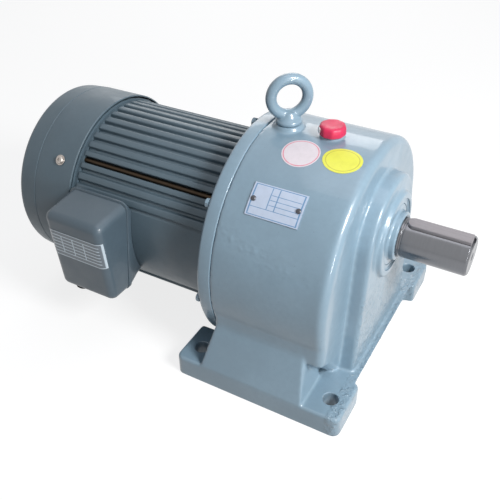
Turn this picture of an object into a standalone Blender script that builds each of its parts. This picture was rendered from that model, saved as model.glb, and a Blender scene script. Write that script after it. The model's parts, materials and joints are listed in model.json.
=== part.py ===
"""Foot-mounted gear motor: a case with two gear stages, a finned motor with its fan, and a terminal box.

Sizes are millimetres and are turned into metres when a mesh is made.
+X is the way the output shaft points, +Z is up, and the foot stands on Z = 0.
While building, X = 0 is the joint between the gear case and the motor flange.
At the end everything moves so that X = 0 is midway between the foot's holes.
"""

import math

import bmesh
import bpy
from mathutils import Matrix, Vector

MM = 0.001

# Clearances
SEAT_GAP = 0.3
OVERCUT = 2.0
WELD_DISTANCE = 0.005

# Round of the case, and the shaft axes, all in the plane Y = 0
CASE_RADIUS = 142.0
CASE_BELOW_BASE = 8.0
MOTOR_AXIS_Z = CASE_RADIUS - CASE_BELOW_BASE

# Gear train
MODULE_1 = 2.0
MOTOR_PINION_TEETH = 13
INTERMEDIATE_GEAR_TEETH = 52
MODULE_2 = 3.0
INTERMEDIATE_PINION_TEETH = 16
OUTPUT_GEAR_TEETH = 54
PRESSURE_ANGLE = math.radians(20.0)
ADDENDUM_SHARE = 0.8
DEDENDUM_SHARE = 1.05
TOOTH_BACKLASH = 0.35
CENTRE_1 = MODULE_1 * (MOTOR_PINION_TEETH + INTERMEDIATE_GEAR_TEETH) / 2
CENTRE_2 = MODULE_2 * (INTERMEDIATE_PINION_TEETH + OUTPUT_GEAR_TEETH) / 2
INTERMEDIATE_AXIS_Z = MOTOR_AXIS_Z - CENTRE_1
OUTPUT_AXIS_Z = INTERMEDIATE_AXIS_Z + CENTRE_2

# Gear case
CASE_LENGTH = 137.0
CASE_WALL = 10.0
CASE_FRONT_WALL = 16.0
CASE_EDGE_RADIUS = 9.0
CASE_FLOOR = 10.0
CARRIER_SHOULDER = 5.0
CAVITY_RADIUS = CASE_RADIUS - CASE_WALL
CAVITY_FRONT_X = CASE_LENGTH - CASE_FRONT_WALL

# Raised tier and round boss on the front face
TIER_HEIGHT = 18.0
TIER_RADIUS = 69.0
TIER_FOOT_HALF_WIDTH = 87.0
TIER_EDGE = 4.0
TIER_X = CASE_LENGTH + TIER_HEIGHT
BOSS_RADIUS = 49.0
BOSS_HEIGHT = 6.0
BOSS_X = TIER_X + BOSS_HEIGHT
BOSS_LIP_RADIUS = 43.0
BOSS_LIP_DEPTH = 2.0

# Foot
FOOT_SIDE_REACH = 18.0
FOOT_WIDTH = 2 * (CASE_RADIUS + FOOT_SIDE_REACH)
FOOT_THICKNESS = 27.0
HOLE_PITCH_X = 170.0
HOLE_SIDE_MARGIN = 27.5
HOLE_PITCH_Y = FOOT_WIDTH - 2 * HOLE_SIDE_MARGIN
HOLE_DIAMETER = 18.0
FOOT_MARGIN = 21.0
FRONT_HOLE_AHEAD = 11.0
FRONT_HOLE_X = CASE_LENGTH + FRONT_HOLE_AHEAD
PAD_WIDTH = 62.0
PAD_INNER_Y = FOOT_WIDTH / 2 - PAD_WIDTH
PAD_FILLET = 12.0
FOOT_CORNER_RADIUS = 9.0
FOOT_EDGE = 2.5
REAR_HOLE_X = FRONT_HOLE_X - HOLE_PITCH_X
FOOT_FRONT_X = FRONT_HOLE_X + FOOT_MARGIN
FOOT_REAR_X = REAR_HOLE_X - FOOT_MARGIN
SIDE_WALL_Y = 137.0
SIDE_WALL_LOW_Z = 72.0
FLARE_TOP_Z = 81.0
FLARE_REAR_X = 3.0
FLARE_REAR_SPREAD = 11.0
FLARE_FRONT_MARGIN = 14.0
FLARE_FRONT_X = CASE_LENGTH - FLARE_FRONT_MARGIN
FLARE_END_DRAFT = 9.0
FLANGE_ROOM = 1.0

# Lifting eye and filler on the top of the case
EYE_X = 23.0
EYE_SEAT_HEIGHT = 4.5
EYE_SEAT_RADIUS = 17.0
EYE_RING_RADIUS = 20.6
EYE_BAR_RADIUS = 6.2
EYE_COLLAR_RADIUS = 14.5
EYE_COLLAR_HEIGHT = 6.0
EYE_SHANK_RADIUS = 6.0
EYE_SHANK_LENGTH = 9.0
EYE_TURN = math.radians(42.0)
FILLER_X = 75.0
FILLER_SEAT_HEIGHT = 3.0
FILLER_SEAT_RADIUS = 12.5
FILLER_HEX_RADIUS = 15.5
FILLER_HEAD_HEIGHT = 11.0
FILLER_STEM_RADIUS = 9.0
FILLER_STEM_LENGTH = 8.0

# Motor flange
FLANGE_THICKNESS = 17.0
FLANGE_FLAT_Z = 4.0
FLANGE_SPIGOT_LENGTH = 6.0
FLANGE_SPIGOT_WALL = 9.0
FLANGE_BOLT_COUNT = 7
FLANGE_BOLT_STEP = math.radians(50.0)
FLANGE_BOLT_RADIUS = 3.0
FLANGE_BOLT_CIRCLE = CAVITY_RADIUS + 4.2
FLANGE_BOLT_HEAD_RADIUS = 5.6
FLANGE_BOLT_HEAD_HEIGHT = 4.5
FLANGE_BOLT_GRIP = 12.0
MOTOR_HUB_LENGTH = 22.0
FLANGE_REAR_X = -SEAT_GAP - FLANGE_THICKNESS

# Ball bearings: bore, outer diameter, width
OUTPUT_FRONT_BEARING = (50.0, 90.0, 20.0)
OUTPUT_REAR_BEARING = (40.0, 80.0, 18.0)
INTERMEDIATE_BEARING = (25.0, 52.0, 15.0)
MOTOR_BEARING = (30.0, 62.0, 16.0)
MOTOR_REAR_BEARING = (25.0, 52.0, 15.0)
BEARING_WALL = 8.0

# Output shaft
SHAFT_DIAMETER = 45.0
SHAFT_REACH = 108.0
SHAFT_TIP_X = CASE_LENGTH + SHAFT_REACH
SHAFT_CHAMFER = 2.0
KEY_WIDTH = 14.0
KEY_HEIGHT = 9.0
KEY_SEAT_DEPTH = 5.5
KEY_START_AHEAD = 35.0
KEY_START_X = CASE_LENGTH + KEY_START_AHEAD
KEY_END_MARGIN = 2.5
KEY_TURN = math.radians(8.0)
SEAL_OUTER_DIAMETER = 72.0
SEAL_DEPTH = 11.0
SEAL_NOSE_RADIUS = 28.5
SEAL_NOSE_LENGTH = 8.0

# Gear widths and their places along X
STAGE_1_X = 12.0
STAGE_1_WIDTH = 20.0
PINION_OVERWIDTH = 1.5
CARRIER_CLEARANCE = 4.0
CARRIER_THICKNESS = 19.0
STAGE_2_CLEARANCE = 4.0
STAGE_2_WIDTH = 28.0
CARRIER_REAR_X = STAGE_1_X + STAGE_1_WIDTH + PINION_OVERWIDTH + CARRIER_CLEARANCE
CARRIER_FRONT_X = CARRIER_REAR_X + CARRIER_THICKNESS
STAGE_2_X = CARRIER_FRONT_X + STAGE_2_CLEARANCE
OUTPUT_GEAR_SEAT_RADIUS = 27.0
OUTPUT_SHOULDER_RADIUS = 31.0
GEAR_WEB_RECESS = 6.0
GEAR_RIM = 12.0
GEAR_HUB_WALL = 12.0
INTERMEDIATE_GEAR_SEAT_RADIUS = 16.0
INTERMEDIATE_SHOULDER_RADIUS = 19.0
CIRCLIP_THICKNESS = 1.8
CIRCLIP_DEPTH = 1.5
CIRCLIP_HEIGHT = 3.5

# Carrier plate
CARRIER_SCREW_RADIUS = 4.0
CARRIER_SCREW_HEAD_RADIUS = 7.2
CARRIER_SCREW_HEAD_HEIGHT = 5.3
CARRIER_SCREW_GRIP = 16.0
CARRIER_SCREW_MARGIN = 14.0
CARRIER_SCREW_CIRCLE = CAVITY_RADIUS - CARRIER_SCREW_MARGIN
CARRIER_SCREW_ANGLES = (22.0, 158.0, 205.0, 335.0)
CARRIER_LUG_RADIUS = 9.5
CARRIER_PASSAGE_RADIUS = 32.0

# Motor
FRAME_LENGTH = 198.0
FIN_TIP_RADIUS = 110.5
FIN_DEPTH = 6.5
FINS_ABOVE = 13
FINS_BESIDE = 12
FIN_TIP_SHARE = 0.27
FIN_ROOT_SHARE = 0.36
PANEL_START = 157.0
PANEL_END = 218.0
PANEL_RADIUS = 108.5
STATOR_RADIUS = 95.0
STATOR_BORE_RADIUS = 58.5
AIR_GAP = 0.5
STATOR_START = 46.0
STATOR_REAR_MARGIN = 42.0
STATOR_LENGTH = FRAME_LENGTH - STATOR_START - STATOR_REAR_MARGIN
WINDING_LENGTH = 26.0
WINDING_INNER_RADIUS = 64.0
WINDING_OUTER_RADIUS = 89.0
FRAME_FRONT_X = FLANGE_REAR_X - SEAT_GAP
FRAME_REAR_X = FRAME_FRONT_X - FRAME_LENGTH
MOTOR_SHAFT_RADIUS = 19.0
MOTOR_SEAL_RADIUS = 12.0
MOTOR_SEAL_OUTER_RADIUS = 20.0
MOTOR_SEAL_WIDTH = 7.0

# Tie rods
TIE_ROD_RADIUS = 3.0
TIE_ROD_CIRCLE = 103.5
TIE_ROD_ANGLE = 44.0
TIE_ROD_HEAD_RADIUS = 4.5
TIE_ROD_HEAD_HEIGHT = 6.0
TIE_ROD_GROOVE_RADIUS = 99.0
TIE_ROD_GROOVE_HALF_ANGLE = 2.2
TIE_ROD_THREAD = 10.0

# Rear end shield
SHIELD_RIM_THICKNESS = 8.0
SHIELD_HUB_LENGTH = 20.0
SHIELD_LUG_LENGTH = 32.0
SHIELD_LUG_WIDTH = 9.0
SHIELD_LUG_DEPTH = 30.0
SHIELD_REAR_X = FRAME_REAR_X - SEAT_GAP - SHIELD_RIM_THICKNESS

# Fan and fan cover
COVER_FRONT_RADIUS = 115.0
COVER_SIDE_TAPER = 1.5
COVER_REAR_RADIUS = 105.0
COVER_WALL = 2.0
COVER_OVERLAP = 4.0
COVER_LENGTH = 86.0
COVER_CREASE_FROM_REAR = 30.0
COVER_CORNER = 8.0
COVER_SCREW_ANGLE = 38.5
COVER_SCREW_FROM_RIM = 22.0
COVER_SCREW_RADIUS = 2.5
COVER_SCREW_HEAD_RADIUS = 5.2
COVER_SCREW_HEAD_HEIGHT = 3.0
COVER_SCREW_LENGTH = 9.0
COVER_WASHER_RADIUS = 6.5
COVER_WASHER_THICKNESS = 1.0
COVER_FRONT_X = FRAME_REAR_X - COVER_OVERLAP
COVER_REAR_X = COVER_FRONT_X - COVER_LENGTH
VENT_RINGS = ((34.0, 46.0), (54.0, 66.0), (74.0, 86.0))
VENT_COUNTS = (6, 8, 8)
VENT_RIB = 7.0
FAN_RADIUS = 92.0
FAN_HUB_RADIUS = 19.0
FAN_DISC_RADIUS = 62.0
FAN_DISC_THICKNESS = 3.0
FAN_BLADE_COUNT = 8
FAN_BLADE_THICKNESS = 3.5
FAN_BLADE_WIDTH = 28.0
FAN_CLEARANCE = 5.0
FAN_SHAFT_RADIUS = 11.0
FAN_FRONT_X = SHIELD_REAR_X - SHIELD_LUG_LENGTH - FAN_CLEARANCE

# Terminal box
BOX_FROM_FRAME_REAR = 44.1
BOX_X = FRAME_REAR_X + BOX_FROM_FRAME_REAR
BOX_LENGTH = 85.0
BOX_LOW_Z = 70.0
BOX_TOP_Z = 189.0
BOX_PARTING_Y = -125.0
BOX_ROOT_Y = -92.0
BOX_ROOT_INSET_X = 5.0
BOX_ROOT_LOW_Z = 87.0
BOX_ROOT_TOP_Z = 173.0
BOX_CORNER = 11.0
BOX_WALL = 3.5
BOX_RIM = 5.0
COVER_DEPTH = 31.0
COVER_LEAN = 8.0
COVER_TOP_DROP = 34.0
TERMINAL_BLOCK_SIZE = (52.0, 12.0, 34.0)
TERMINAL_STUD_RADIUS = 2.5
TERMINAL_STUD_LENGTH = 11.0
ENTRY_PLUG_RADIUS = 10.0
ENTRY_PLUG_HEAD_RADIUS = 13.0
ENTRY_PLUG_HEAD_HEIGHT = 4.0
BOX_SCREW_RADIUS = 2.0
BOX_SCREW_HEAD_RADIUS = 3.8
BOX_SCREW_HEAD_HEIGHT = 2.4
BOX_SCREW_LENGTH = 8.0
BOX_SCREW_BEYOND_PARTING = 5.0
BOX_TAB_HALF_WIDTH = 6.0
BOX_TAB_HEIGHT = 6.0
BOX_TAB_ROOT = 7.0
BOX_TAB_CLEARANCE = 0.8

# Nameplate on the side of the case
PLATE_X = 57.5
PLATE_LENGTH = 61.0
PLATE_HEIGHT = 36.0
PLATE_THICKNESS = 0.9
PLATE_ANGLE = 132.7
PLATE_RIVET_INSET = 4.5
PLATE_RIVET_RADIUS = 1.7
PLATE_RIVET_HEAD_RADIUS = 2.9
PLATE_RIVET_HEAD_HEIGHT = 1.3
PLATE_RIVET_LENGTH = 4.0

CASE_SEGMENTS = 36
BORE_SEGMENTS = 48
FIT_SEGMENTS = 32
PART_SEGMENTS = 24
HEAD_SEGMENTS = 12
RECESS_SEGMENTS = 18
SMALL_SEGMENTS = 8
LARGE_GEAR_TEETH = 30


def clear_scene():
    """Remove every object, mesh and material that the file starts with."""
    for item in list(bpy.data.objects):
        bpy.data.objects.remove(item, do_unlink=True)
    for mesh in list(bpy.data.meshes):
        bpy.data.meshes.remove(mesh)
    for material in list(bpy.data.materials):
        bpy.data.materials.remove(material)


def make_material(name, colour, roughness, metallic):
    """A Principled BSDF of one colour."""
    material = bpy.data.materials.new(name)
    material.use_nodes = True
    shader = material.node_tree.nodes["Principled BSDF"]
    shader.inputs["Base Color"].default_value = (*colour, 1.0)
    shader.inputs["Roughness"].default_value = roughness
    shader.inputs["Metallic"].default_value = metallic
    material.diffuse_color = (*colour, 1.0)
    return material


def make_palette():
    """The finishes that the pieces are made in."""
    return {
        "case_paint": make_material("case_paint", (0.26, 0.36, 0.42), 0.35, 0.0),
        "motor_paint": make_material("motor_paint", (0.10, 0.135, 0.155), 0.45, 0.0),
        "shaft_steel": make_material("shaft_steel", (0.62, 0.61, 0.60), 0.25, 1.0),
        "gear_steel": make_material("gear_steel", (0.45, 0.45, 0.46), 0.35, 1.0),
        "core_steel": make_material("core_steel", (0.30, 0.30, 0.31), 0.5, 0.9),
        "bearing_steel": make_material("bearing_steel", (0.55, 0.56, 0.58), 0.25, 1.0),
        "cast_iron": make_material("cast_iron", (0.18, 0.18, 0.19), 0.7, 0.6),
        "copper": make_material("copper", (0.55, 0.24, 0.10), 0.4, 0.9),
        "rubber": make_material("rubber", (0.02, 0.02, 0.02), 0.7, 0.0),
        "fan_plastic": make_material("fan_plastic", (0.03, 0.03, 0.035), 0.5, 0.0),
        "cap_plastic": make_material("cap_plastic", (0.80, 0.05, 0.12), 0.3, 0.0),
        "zinc_steel": make_material("zinc_steel", (0.60, 0.56, 0.50), 0.35, 1.0),
        "rod_steel": make_material("rod_steel", (0.16, 0.12, 0.08), 0.5, 0.8),
        "plate_aluminium": make_material("plate_aluminium", (0.72, 0.75, 0.80), 0.3, 0.8),
        "terminal_resin": make_material("terminal_resin", (0.05, 0.03, 0.02), 0.5, 0.0),
    }


def new_object(name, mesh_builder, material):
    """Link a finished bmesh as a smooth-shaded object with sharp edges kept."""
    bmesh.ops.recalc_face_normals(mesh_builder, faces=mesh_builder.faces)
    mesh = bpy.data.meshes.new(name)
    mesh_builder.to_mesh(mesh)
    mesh_builder.free()
    mesh.shade_smooth()
    mesh.set_sharp_from_angle(angle=math.radians(32.0))
    mesh.materials.append(material)
    item = bpy.data.objects.new(name, mesh)
    bpy.context.scene.collection.objects.link(item)
    return item


def turned(name, profile, axis_z, segments, material, closed=False):
    """Turn (x, radius) points about the X-wise axis at height axis_z.

    A closed profile makes a ring. An open one starts and ends with flat discs, which its zero radii stand for.
    """
    builder = bmesh.new()
    rings = []
    for x, radius in profile:
        if radius == 0.0:
            continue
        ring = []
        for step in range(segments):
            angle = 2 * math.pi * (step + 0.5) / segments
            y = radius * math.cos(angle)
            z = axis_z + radius * math.sin(angle)
            ring.append(builder.verts.new((x * MM, y * MM, z * MM)))
        rings.append(ring)
    pairs = list(zip(rings, rings[1:]))
    if closed:
        pairs.append((rings[-1], rings[0]))
    for low, high in pairs:
        for step in range(segments):
            after = (step + 1) % segments
            builder.faces.new((low[step], low[after], high[after], high[step]))
    if not closed:
        builder.faces.new(rings[0])
        builder.faces.new(rings[-1])
    return new_object(name, builder, material)


def loft(name, sections, material):
    """Join sections of equal point counts into one closed solid with flat ends."""
    builder = bmesh.new()
    rows = [[builder.verts.new(Vector(point) * MM) for point in section] for section in sections]
    for low, high in zip(rows, rows[1:]):
        for index in range(len(low)):
            after = (index + 1) % len(low)
            builder.faces.new((low[index], low[after], high[after], high[index]))
    builder.faces.new(rows[0])
    builder.faces.new(rows[-1])
    return new_object(name, builder, material)


def prism_x(name, outline, low_x, high_x, material):
    """Extrude a (y, z) outline from low_x to high_x."""
    sections = [[(x, y, z) for y, z in outline] for x in (low_x, high_x)]
    return loft(name, sections, material)


def prism_z(name, outline, low_z, high_z, material):
    """Extrude an (x, y) outline from low_z to high_z."""
    sections = [[(x, y, z) for x, y in outline] for z in (low_z, high_z)]
    return loft(name, sections, material)


def box(name, low, high, material):
    """A block from its low corner to its high corner."""
    outline = [(low[0], low[1]), (high[0], low[1]), (high[0], high[1]), (low[0], high[1])]
    return prism_z(name, outline, low[2], high[2], material)


def rod(name, start, end, radius, segments, material, radius_end=None):
    """A round bar, or a cone, between two points."""
    start = Vector(start)
    end = Vector(end)
    along = (end - start).normalized()
    helper = Vector((0.0, 0.0, 1.0)) if abs(along.z) < 0.9 else Vector((1.0, 0.0, 0.0))
    side = along.cross(helper).normalized()
    other = along.cross(side)
    sections = []
    for centre, size in ((start, radius), (end, radius if radius_end is None else radius_end)):
        section = []
        for step in range(segments):
            angle = 2 * math.pi * (step + 0.5) / segments
            section.append(centre + (side * math.cos(angle) + other * math.sin(angle)) * size)
        sections.append(section)
    return loft(name, sections, material)


def combine(target, tool, operation):
    """Apply a Boolean with the tool object and remove the tool."""
    modifier = target.modifiers.new("combine", "BOOLEAN")
    modifier.operation = operation
    modifier.solver = "EXACT"
    modifier.object = tool
    bpy.context.view_layer.update()
    graph = bpy.context.evaluated_depsgraph_get()
    mesh = bpy.data.meshes.new_from_object(target.evaluated_get(graph))
    target.modifiers.clear()
    old = target.data
    target.data = mesh
    mesh.name = target.name
    bpy.data.meshes.remove(old)
    tool_mesh = tool.data
    bpy.data.objects.remove(tool, do_unlink=True)
    bpy.data.meshes.remove(tool_mesh)
    material = mesh.materials[0]
    mesh.materials.clear()
    mesh.materials.append(material)
    welder = bmesh.new()
    welder.from_mesh(mesh)
    bmesh.ops.remove_doubles(welder, verts=welder.verts, dist=WELD_DISTANCE * MM)
    bmesh.ops.dissolve_degenerate(welder, edges=welder.edges, dist=WELD_DISTANCE * MM)
    welder.to_mesh(mesh)
    welder.free()
    mesh.shade_smooth()
    mesh.set_sharp_from_angle(angle=math.radians(32.0))
    return target


def add(target, tool):
    """Join the tool's volume to the target."""
    return combine(target, tool, "UNION")


def cut(target, tool):
    """Take the tool's volume out of the target."""
    return combine(target, tool, "DIFFERENCE")


def polar(radius, degrees, axis_z=MOTOR_AXIS_Z):
    """A (y, z) point at an angle from +Y towards +Z about an X-wise axis."""
    angle = math.radians(degrees)
    return radius * math.cos(angle), axis_z + radius * math.sin(angle)


def arc(centre, radius, start, end, steps):
    """Points of an arc in a plane, from one angle in degrees to another."""
    points = []
    for step in range(steps + 1):
        angle = math.radians(start + (end - start) * step / steps)
        points.append((centre[0] + radius * math.cos(angle), centre[1] + radius * math.sin(angle)))
    return points


def rounded_rectangle(low, high, radius, steps):
    """A rectangle with round corners, as (u, v) points."""
    points = []
    points += arc((high[0] - radius, low[1] + radius), radius, -90, 0, steps)
    points += arc((high[0] - radius, high[1] - radius), radius, 0, 90, steps)
    points += arc((low[0] + radius, high[1] - radius), radius, 90, 180, steps)
    points += arc((low[0] + radius, low[1] + radius), radius, 180, 270, steps)
    return points


def gear_outline(teeth, module, first_tooth, axis_z):
    """Involute teeth as a (y, z) outline, with a tooth centred on the angle first_tooth."""
    pitch_radius = module * teeth / 2
    base_radius = pitch_radius * math.cos(PRESSURE_ANGLE)
    tip_radius = pitch_radius + ADDENDUM_SHARE * module
    root_radius = pitch_radius - DEDENDUM_SHARE * module

    def half_tooth(radius):
        angle = math.acos(min(1.0, base_radius / radius))
        involute = math.tan(angle) - angle
        at_pitch = math.tan(PRESSURE_ANGLE) - PRESSURE_ANGLE
        return math.pi / (2 * teeth) - TOOTH_BACKLASH / (4 * pitch_radius) + at_pitch - involute

    points = []
    for tooth in range(teeth):
        centre = first_tooth + 2 * math.pi * tooth / teeth
        flank = [root_radius, pitch_radius, tip_radius]
        if teeth > LARGE_GEAR_TEETH:
            flank = [root_radius, tip_radius]
        for side, radii in ((-1, flank), (1, flank[::-1])):
            for radius in radii:
                angle = centre + side * half_tooth(radius)
                points.append((radius * math.cos(angle), axis_z + radius * math.sin(angle)))
    return points


def ball_bearing(name, size, centre_x, axis_z, material):
    """A bearing as one ring, with the recess between its races on both sides."""
    bore, outer, width = size
    inner_radius = bore / 2 + SEAT_GAP
    outer_radius = outer / 2
    middle = (inner_radius + outer_radius) / 2
    recess = width * 0.15
    low = centre_x - width / 2
    high = centre_x + width / 2
    profile = [
        (low, inner_radius),
        (low + recess, middle),
        (low, outer_radius),
        (high, outer_radius),
        (high - recess, middle),
        (high, inner_radius),
    ]
    return turned(name, profile, axis_z, PART_SEGMENTS, material, closed=True)


def hex_bolt(name, head_x, axis, head_radius, head_height, shank_radius, shank_length, material, direction=1):
    """A hexagon bolt along X; head_x is the face under its head and direction is the way its shank points."""
    y, z = axis
    head = rod(name, (head_x - direction * head_height, y, z), (head_x, y, z), head_radius, 6, material)
    shank_start = (head_x - direction * head_height / 2, y, z)
    shank_end = (head_x + direction * shank_length, y, z)
    add(head, rod("shank", shank_start, shank_end, shank_radius, SMALL_SEGMENTS, material))
    return head


def foot_outline():
    """The foot seen from above: four pads, a straight front edge between the front ones, and the case rear."""
    half = FOOT_WIDTH / 2
    front = TIER_X - TIER_EDGE + 1.5
    corner = FOOT_CORNER_RADIUS
    fillet = PAD_FILLET
    right = []
    right += arc((front + fillet, PAD_INNER_Y - fillet), fillet, 180, 90, 4)
    right += arc((FOOT_FRONT_X - corner / 2, PAD_INNER_Y + corner / 2), corner / 2, -90, 0, 3)
    right += arc((FOOT_FRONT_X - corner, half - corner), corner, 0, 90, 4)
    right += arc((FOOT_REAR_X + corner, half - corner), corner, 90, 180, 4)
    right += arc((FOOT_REAR_X + corner / 2, PAD_INNER_Y + corner / 2), corner / 2, 180, 270, 3)
    right += [(0.0, PAD_INNER_Y)]
    left = [(x, -y) for x, y in reversed(right)]
    return right + left


def inset(points, amount):
    """Move every point of a closed outline inwards."""
    area = 0.0
    for index, (x, y) in enumerate(points):
        area += points[index - 1][0] * y - x * points[index - 1][1]
    result = []
    for index, point in enumerate(points):
        along = Vector(points[(index + 1) % len(points)]) - Vector(points[index - 1])
        inward = Vector((-along.y, along.x)).normalized() * math.copysign(amount, area)
        result.append(tuple(Vector(point) + inward))
    return result


def tier_outline(shrink):
    """The raised front tier: round over the output shaft, widening to the foot."""
    radius = TIER_RADIUS - shrink
    foot = TIER_FOOT_HALF_WIDTH - shrink
    centre = (0.0, OUTPUT_AXIS_Z)
    reach = math.hypot(foot, OUTPUT_AXIS_Z)
    tangent = math.atan2(-OUTPUT_AXIS_Z, foot) + math.acos(radius / reach)
    start = math.degrees(tangent)
    points = [(foot, -OVERCUT)]
    points += arc(centre, radius, start, 180 - start, 16)
    points += [(-foot, -OVERCUT)]
    return points


def side_wall_top():
    """Height at which the flat side wall leaves the round of the case."""
    return MOTOR_AXIS_Z - math.sqrt(CASE_RADIUS ** 2 - SIDE_WALL_Y ** 2)


def flare(side, material):
    """The web between two pads, from the outer edge of the foot up to the flat side wall."""
    half = FOOT_WIDTH / 2 - 0.5
    hidden = SIDE_WALL_Y - 1.5 * CASE_WALL
    top_z = side_wall_top() - 1.0
    profile = [
        (PAD_INNER_Y + 6.0, FOOT_THICKNESS - FOOT_EDGE - 1.0),
        (half, FOOT_THICKNESS - FOOT_EDGE - 1.0),
        (half, FOOT_THICKNESS),
        (SIDE_WALL_Y + 1.2, FLARE_TOP_Z - 3.0),
        (SIDE_WALL_Y + 0.1, FLARE_TOP_Z + 2.5),
        (SIDE_WALL_Y - 0.2, top_z),
        (hidden, top_z),
    ]
    rear = []
    front = []
    for y, z in profile:
        share = min(1.0, (z - FOOT_THICKNESS) / (FLARE_TOP_Z - FOOT_THICKNESS))
        rear.append((FLARE_REAR_X - FLARE_REAR_SPREAD * (1.0 - share), side * y, z))
        front.append((FLARE_FRONT_X - FLARE_END_DRAFT * share, side * y, z))
    return loft("flare", [rear, front], material)


def side_wall(side, material):
    """The flat side of the case below its round, with the same rounded front edge."""
    corner = CASE_EDGE_RADIUS
    high = side_wall_top() + 0.6
    sections = []
    for x, inward in [(FLARE_REAR_X, 0.0)] + [
        (CASE_LENGTH - corner + corner * math.sin(turn), corner * (1.0 - math.cos(turn)))
        for turn in (0.0, math.radians(30.0), math.radians(60.0), math.radians(88.0))
    ]:
        outer = SIDE_WALL_Y - inward
        inner = SIDE_WALL_Y - 2.0 * CASE_WALL
        profile = [
            (inner, SIDE_WALL_LOW_Z - 10.0),
            (outer - 4.5, SIDE_WALL_LOW_Z - 3.5),
            (outer, SIDE_WALL_LOW_Z),
            (outer, high),
            (inner, high),
        ]
        sections.append([(x, side * y, z) for y, z in profile])
    return loft("side_wall", sections, material)


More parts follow.
